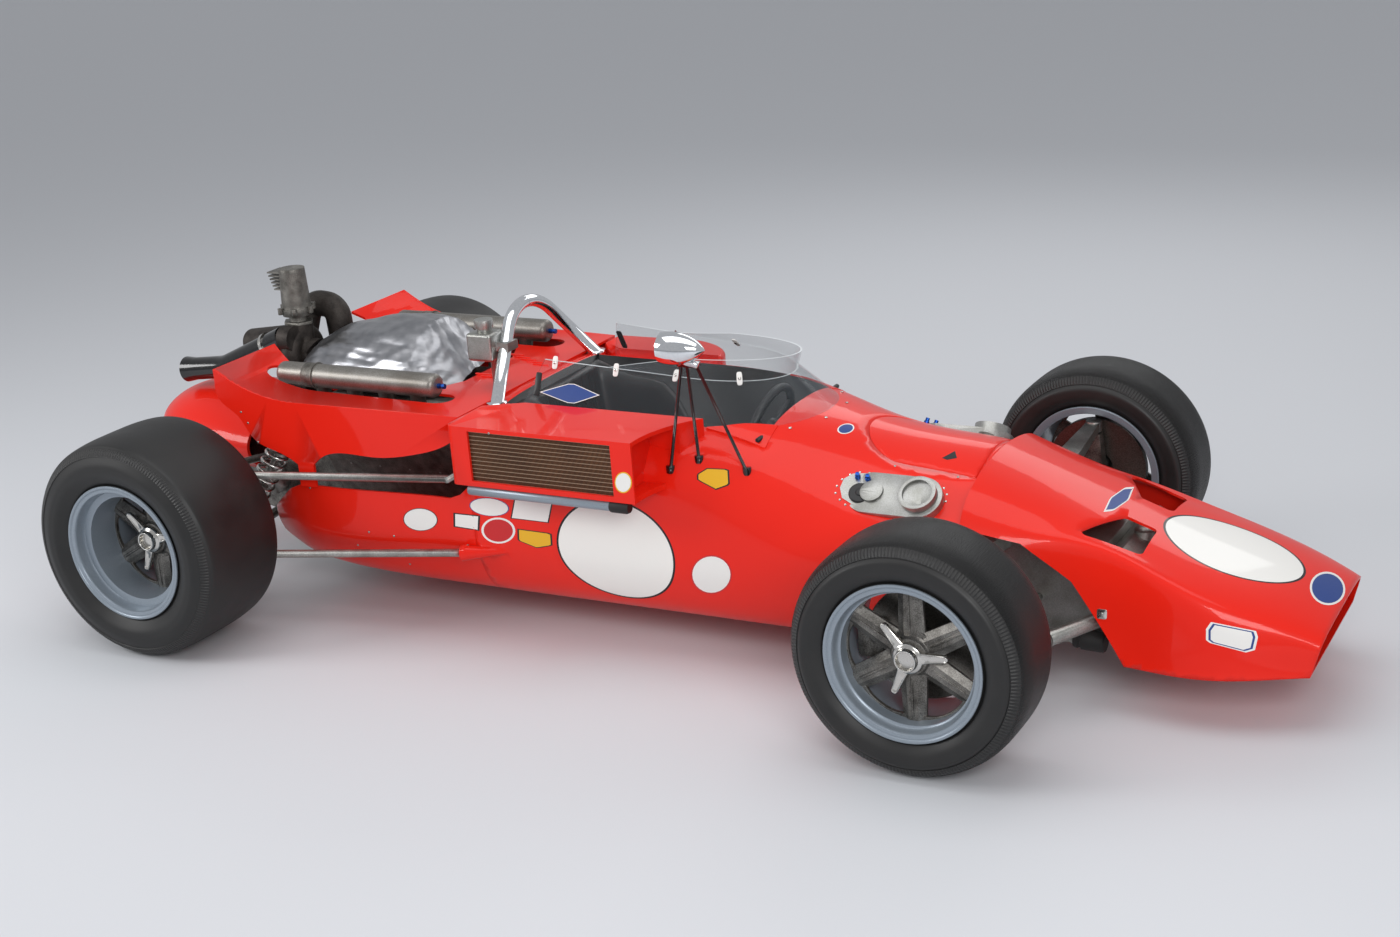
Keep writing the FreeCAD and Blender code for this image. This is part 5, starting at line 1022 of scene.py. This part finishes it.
RIVET_RING = [(835.5, 493.1), (836.9, 486), (842.2, 479.3), (850.2, 474.5), (860, 472.2), (869.6, 472.9),
              (879.3, 474.2), (888.9, 475.6), (898.5, 477.1), (908.2, 478.5), (917.8, 480), (927.5, 481.5),
              (937.3, 483.5), (943.8, 488), (946.9, 494.4), (945.8, 501.5), (941.1, 508.5), (933.1, 513.5),
              (902.7, 514.2), (893.1, 512.7), (883.3, 511.5), (873.6, 510), (863.8, 508.7), (854, 507.1),
              (845.3, 504.7), (839.8, 499.8)]
studs("filler_rivets", twins([sight(px, py, "tub") for px, py in RIVET_RING]), RIVET, polished, 8)
print("rivets round each plate", len(RIVET_RING))

# %% Screws and fasteners
PANELS = ("nose_cone", "tub", "cowl_hatch", "bay_panels", "engine_cover", "tail_fairing", "radiator_pod",
          "shoulder_fairing", "engine_block")
PANEL_SCREWS = [(488.6, 433.4), (527.6, 438.4), (567.3, 445), (351.6, 463), (380.4, 466), (410, 469.5),
                (440.5, 473), (369, 532), (394, 536), (358, 545), (410, 564), (468, 545),
                (241, 412), (248, 423), (258, 442), (895, 466), (958, 477), (310, 488)]
studs("panel_screws", twins([sight(px, py, *PANELS) for px, py in PANEL_SCREWS]), RIVET, plated, 8)
BOLT_HEAD = [(-1, 5), (2, 5), (3.5, 3), (3.8, 0.5)]
studs("screen_bolts", twins([drop(-534, 70, "tub"), drop(-596, 172, "tub")]), BOLT_HEAD, polished, 8)
tab_spot = sight(1102, 614, "nose_cone")
make_piece("nose_tabs", both_sides([tile_patch(tab_spot, (13, 13), 2.0)]), polished)
studs("nose_tab_screws", twins([tab_spot]), [(1, 5), (4, 5), (5, 3), (5.2, 0.5)], plated)
print("screws", 2 * len(PANEL_SCREWS))

# %% [markdown]
# Beside the screen's foot the deck carries on over the corner of the cockpit. This small
# coaming joins the rim to the deck ahead: the height at a point is that of the rim abreast of
# it, plus that of the deck ahead of it, less that of the corner where the two meet.

# %% Coaming
COAMING_X = np.linspace(-806, -628, 18)
COAMING_INNER = np.interp(COAMING_X, [-806, -762, -711, -640, -633], [-263, -247, -218, -186, -181])
RIM_Y = 267
DECK_AHEAD = -622
COAMING_RISE, COAMING_UNDER = 0.0022, 0.003


def coaming_patch():
    """Closed rings across the strip, from its inner edge to the rim above and back 3 mm below."""
    rim = np.array([drop(x, -RIM_Y, "tub")[0][2] for x in COAMING_X])[:, None]
    ahead_y = np.linspace(-RIM_Y, -150, 24)
    ahead = np.array([drop(DECK_AHEAD, y, "tub")[0][2] for y in ahead_y])
    share = np.linspace(0, 1, 9)[None, :]
    y = COAMING_INNER[:, None] * (1 - share) - RIM_Y * share
    top = rim + np.interp(y, ahead_y, ahead) - ahead[0]
    points = spot(COAMING_X[:, None], y, 0) + top[..., None] * (0, 0, 1)
    return tube_patch(np.concatenate([points + (0, 0, COAMING_RISE),
                                      points[:, ::-1] - (0, 0, COAMING_UNDER)], 1))


make_piece("coaming", both_sides([coaming_patch()]), plain_lacquer, sharp=50)
print("coaming", len(COAMING_X), "rows")

# %% [markdown]
# Rods, clamps, sleeves and springs are all turned or wound about a line between two points, so
# one function turns an outline about any line, and one winds a wire about it.

# %% About a line


def line_frame(start, end):
    """A line between two stations: its start, its way and two directions square to it."""
    start, end = spot(*start), spot(*end)
    way = (end - start) / np.linalg.norm(end - start)
    return start, way, *own_ways(way, (0.1, 0.2, 1.0))


def about_line(start, end, outline, count=24):
    """Outline of distance from the start and radius, in mm, turned about the line: the radius times
    the cosine and sine of the turn along two directions square to it."""
    start, way, first, second = line_frame(start, end)
    turn = full_turn(count)[:, None]
    outline = np.asarray(outline, float)[..., None, None] * MM
    ring = np.cos(turn) * first + np.sin(turn) * second
    return tube_patch(start + outline[:, 0] * way + outline[:, 1] * ring)


def wound_wire(start, end, radius, wire, turns, first_mm, last_mm):
    """Wire wound about the line: its middle goes round at the radius while it climbs evenly."""
    start, way, first, second = line_frame(start, end)
    turn = np.linspace(0, 2 * math.pi * turns, int(turns * 26))[:, None, None]
    out_way = np.cos(turn) * first + np.sin(turn) * second
    climb = np.linspace(first_mm, last_mm, len(turn))[:, None, None] * MM * way
    round_wire = full_turn(8)[None, :, None]
    return tube_patch(start + climb + out_way * (radius + wire * np.cos(round_wire)) * MM
                      + way * wire * MM * np.sin(round_wire))


SPRING_LOW, SPRING_TOP = (-2396, -476, 233), (-2186, -405, 559)
spring_long = float(np.linalg.norm(np.subtract(SPRING_TOP, SPRING_LOW)))
damper = [about_line(SPRING_LOW, SPRING_TOP, outline) for outline in (
    [(0, 12), (20, 13), (24, 21), (spring_long * 0.55, 21), (spring_long * 0.56, 9), (spring_long - 2, 9)],
    [(70, 24), (70, 41), (78, 41), (82, 30)],
    [(spring_long - 52, 30), (spring_long - 48, 41), (spring_long - 40, 41), (spring_long - 36, 14)])]
damper += [about_line((x, y, z), (x, y + 28, z), [(0, 13.5), (28, 13.5)])
           for x, y, z in ((-2396, -490, 233), (-2186, -419, 559))]
spring = wound_wire(SPRING_LOW, SPRING_TOP, 35, 5.8, 8.5, 84, spring_long - 56)
make_piece("springs", both_sides([spring]), polished, stands_for=("coil_overs",), sharp=60)
make_piece("dampers", both_sides(damper), plated)
PIPE = [(0, 14), (2, 15.5), (470, 15.5), (472, 14)]
make_piece("radiator_pipe", [about_line((-1440, -524, 509), (-960, -524, 509), PIPE)], barrel_alloy,
           stands_for=("coolant_pipe",), sharp=40)
HOSE = [(0, 17), (4, 18.5), (50, 18.5), (58, 15)]
make_piece("pipe_hose", [about_line((-975, -524, 509), (-915, -524, 509), HOSE)], hose_rubber)
BAND = [(0, 37.0), (2, 38), (30, 38), (32, 37), (36, 37), (37, 40.5), (41, 40.5), (42, 37)]
PLENUM_UNION = [(0, 8), (8, 8), (9, 5.5), (14, 5.5), (15, 8), (24, 8)]
make_piece("plenum_bands", [about_line((-2152, y, 733), (-2100, y, 733), BAND) for y in (-308, 308)],
           (cast_grey[0], "satin_aluminium"))
make_piece("plenum_unions", [about_line((-1669, y, 733), (-1640, y, 733), PLENUM_UNION, 8)
                             for y in (-308, 308)], blue_fitting)
CLAMP = [(66, 38), (66, 42.5), (78, 42.5), (78, 38)]
make_piece("exhaust_clamp", [about_line((-2440, -60, 762), (-2700, -60, 648), CLAMP)], polished)
ARM_CAP = [(0, 24), (3, 26), (12, 26), (14, 24), (20, 24), (22, 28), (80, 27), (84, 24)]
make_piece("arm_tubes", both_sides([about_line((140, -221, 163), (300, -221, 156), [(0, 15), (120, 15)])]),
           plated)
make_piece("arm_caps", both_sides([about_line((226, -221, 160), (330, -221, 155), ARM_CAP)]), hose_rubber)
print("spring", round(spring_long), "mm between its eyes")

# %% [markdown]
# Painted marks and transfers are thin shapes on the panels: bare ovals, plates and discs in
# the colours that the car wears, and one black patch of painted shade in a hole of the hatch.
# Each is a rim and a smaller field of another colour, lifted a fraction of a millimetre.

# %% Bare transfers
paints = {}
FIRST_LIFT_MM, NEXT_LIFT_MM = 0.35, 0.3


def paint(colour):
    """Matt vinyl of one colour, with a faint unevenness so that it isn't dead flat."""
    if colour not in paints:
        paints[colour] = finish_of("red_paint", "vinyl transfer " + colour[1:], colour, colour, 0.0, 0.4,
                                   5.0, 0.02, 0.06)
    return paints[colour]


def transfer(name, outline, colours, names, shrink=0.86):
    """Fields inside each other: each is the outline drawn in towards its middle by the shrink."""
    outline = np.asarray(outline, float)
    middle = outline.mean(0)
    for step, colour in enumerate(colours):
        shape = middle + (outline - middle) * shrink ** step
        lift_mm = FIRST_LIFT_MM + NEXT_LIFT_MM * step
        patch = paper_patch(shape, max(28, 4 * len(outline)), lift_mm, *names)
        make_piece(f"{name}_{step}", [patch], paint(colour))


WHITE, RED, BLUE, YELLOW, BLACK = "#ECEAE6", "#C81E22", "#1D3F86", "#E9B21C", "#1B1B1D"
SIDE = ("tub", "bay_panels", "radiator_pod")
transfer("oval_one", oval((420.5, 519.5), (17.3, 11.4), 3), [BLACK, WHITE], SIDE, 0.95)
transfer("plate_one", [(453.4, 512.7), (480.2, 515.5), (479.5, 530.9), (453.6, 526.8)], [BLACK, WHITE], SIDE)
transfer("oval_two", oval((489.3, 507), (20, 9), 6), [BLUE, WHITE], SIDE, 0.95)
transfer("oval_three", oval((498.4, 530.5), (17, 13), 4), [WHITE, RED], SIDE)
transfer("plate_two", [(514.3, 497.5), (553.2, 501.4), (548.9, 523), (510.5, 518.4)], [BLACK, WHITE],
         SIDE, 0.93)
transfer("shield_one", [(517.3, 528.6), (551.8, 533.2), (552.7, 545.7), (537, 548.2), (517.7, 540.5)],
         [BLACK, YELLOW], SIDE, 0.9)
transfer("disc_one", oval((623.3, 482.5), (8.6, 10.6)), [YELLOW, WHITE], ("radiator_pod",), 0.88)
transfer("disc_two", oval((711.5, 574.5), (20.5, 19.5)), [RED, WHITE], SIDE, 0.93)
transfer("shield_two", [(707, 468), (729, 469), (730, 485), (716, 490), (697, 480), (697, 474)],
         [BLACK, YELLOW], SIDE, 0.9)
transfer("nose_oval", oval((1327.5, 588.5), (18, 16.5), 25), [WHITE, BLUE], ("nose_cone",), 0.88)
transfer("nose_plate", [(1206, 629), (1211, 622), (1256, 631), (1258, 637), (1255, 650), (1246, 652.5),
                        (1210, 643), (1206, 640)], [WHITE, BLUE, WHITE], ("nose_cone",), 0.9)
transfer("nose_diamond", [(1103.5, 512), (1110, 498), (1125, 487.5), (1134, 487), (1129, 500), (1113, 511)],
         [WHITE, BLUE], ("nose_cone",), 0.84)
transfer("cowl_oval", oval((845.8, 428.8), (8.6, 5), -12), [WHITE, BLUE], ("tub", "cowl_hatch"), 0.84)
transfer("screen_mark", [(539.6, 392), (568.3, 383.7), (574.8, 383.9), (599.8, 395.2), (574.8, 403.5),
                         (567, 402.8)], [WHITE, BLUE], ("windscreen",), 0.93)
# A black patch at a hole in the hatch: painted shade of the hole's dark inside
transfer("hatch_hole_painted_shade", [(942, 458), (955, 451), (957, 458), (947, 460)], [BLACK], ("cowl_hatch", "tub"))
print("kinds of paint", len(paints))

# %% Louvres, brackets and tabs
louvres = [tile_patch(spot_on, (30, 5), 4.0, (1, 0, 0), 2.5, 3.0)
           for start, end, count in (((473, 369.5), (489, 377), 4), ((516, 355), (541, 365), 5))
           for spot_on in row_of(start, end, count, "engine_cover", "tub")]
make_piece("deck_louvres", louvres, plain_lacquer, sharp=60)
SHEETS = ("windscreen", "wind_deflector")
bracket = tile_patch(sight(538, 384, *SHEETS), (34, 9), 3.0, (0, 0, 1), 8)
make_piece("screen_brackets", both_sides([bracket]), black_plastic)
SCREEN_TABS = [(555.2, 362.6), (616, 370), (675.9, 375.6), (739.5, 378.6), (736, 342.5)]
tab_spots = [sight(px, py, *SHEETS) for px, py in SCREEN_TABS]
make_piece("screen_tabs", [tile_patch(t, (19, 8), 2.0, (0, 0, 1), 4) for t in tab_spots], paint(WHITE))
studs("screen_tab_screws", tab_spots, [(1, 5), (4, 5), (5.5, 3), (5.8, 0.5)], polished, 8)
print("louvres", len(louvres), "tabs", len(tab_spots))

# %% [markdown]
# ## Floor, lamps and the end
# A plain pale floor and broad soft lamps, as in a studio. The surrounding is nearly white and
# shines evenly at half strength.

# %% Studio
FLOOR_HALF = 40.0
floor_mesh = bpy.data.meshes.new("floor")
floor_mesh.from_pydata([(-FLOOR_HALF, -FLOOR_HALF, 0), (FLOOR_HALF, -FLOOR_HALF, 0),
                        (FLOOR_HALF, FLOOR_HALF, 0), (-FLOOR_HALF, FLOOR_HALF, 0)], [], [(0, 1, 2, 3)])
floor = bpy.data.objects.new("floor", floor_mesh)
bpy.context.scene.collection.objects.link(floor)
floor_paint, _, shader = blank_material("matt painted floor")
plug(shader, {"Base Color": linear("#D3D5D9"), "Roughness": 0.75})
floor_mesh.materials.append(floor_paint)

world = bpy.data.worlds.new("studio")
bpy.context.scene.world = world
world.use_nodes = True
tree = world.node_tree
tree.nodes.clear()
glow = add(tree, "Background", {"Color": linear("#F1F3F7"), "Strength": 0.5})
add(tree, "OutputWorld", {0: glow})


def softbox(name, place, aim, size, watts):
    """A rectangular lamp at a place, turned to shine at a point."""
    lamp = bpy.data.objects.new(name, bpy.data.lights.new(name, "AREA"))
    lamp.data.shape = "RECTANGLE"
    lamp.data.size, lamp.data.size_y = size
    lamp.data.energy = watts
    lamp.location = place
    lamp.rotation_euler = (Vector(aim) - Vector(place)).to_track_quat("-Z", "Y").to_euler()
    bpy.context.scene.collection.objects.link(lamp)


softbox("overhead", (0.2, -0.6, 4.6), (0, 0, 0), (5.0, 3.0), 74)
softbox("front side", (3.5, -4.5, 3.2), (0.4, 0, 0.4), (2.6, 2.0), 128)
softbox("rear side", (-4.5, -3.5, 3.0), (-0.8, 0, 0.4), (2.4, 1.8), 110)
softbox("far side", (0.0, 5.0, 3.6), (0, 0, 0.4), (4.0, 1.6), 44)
bpy.context.scene.view_settings.view_transform = "Standard"
print("lamps", len(bpy.data.lights))
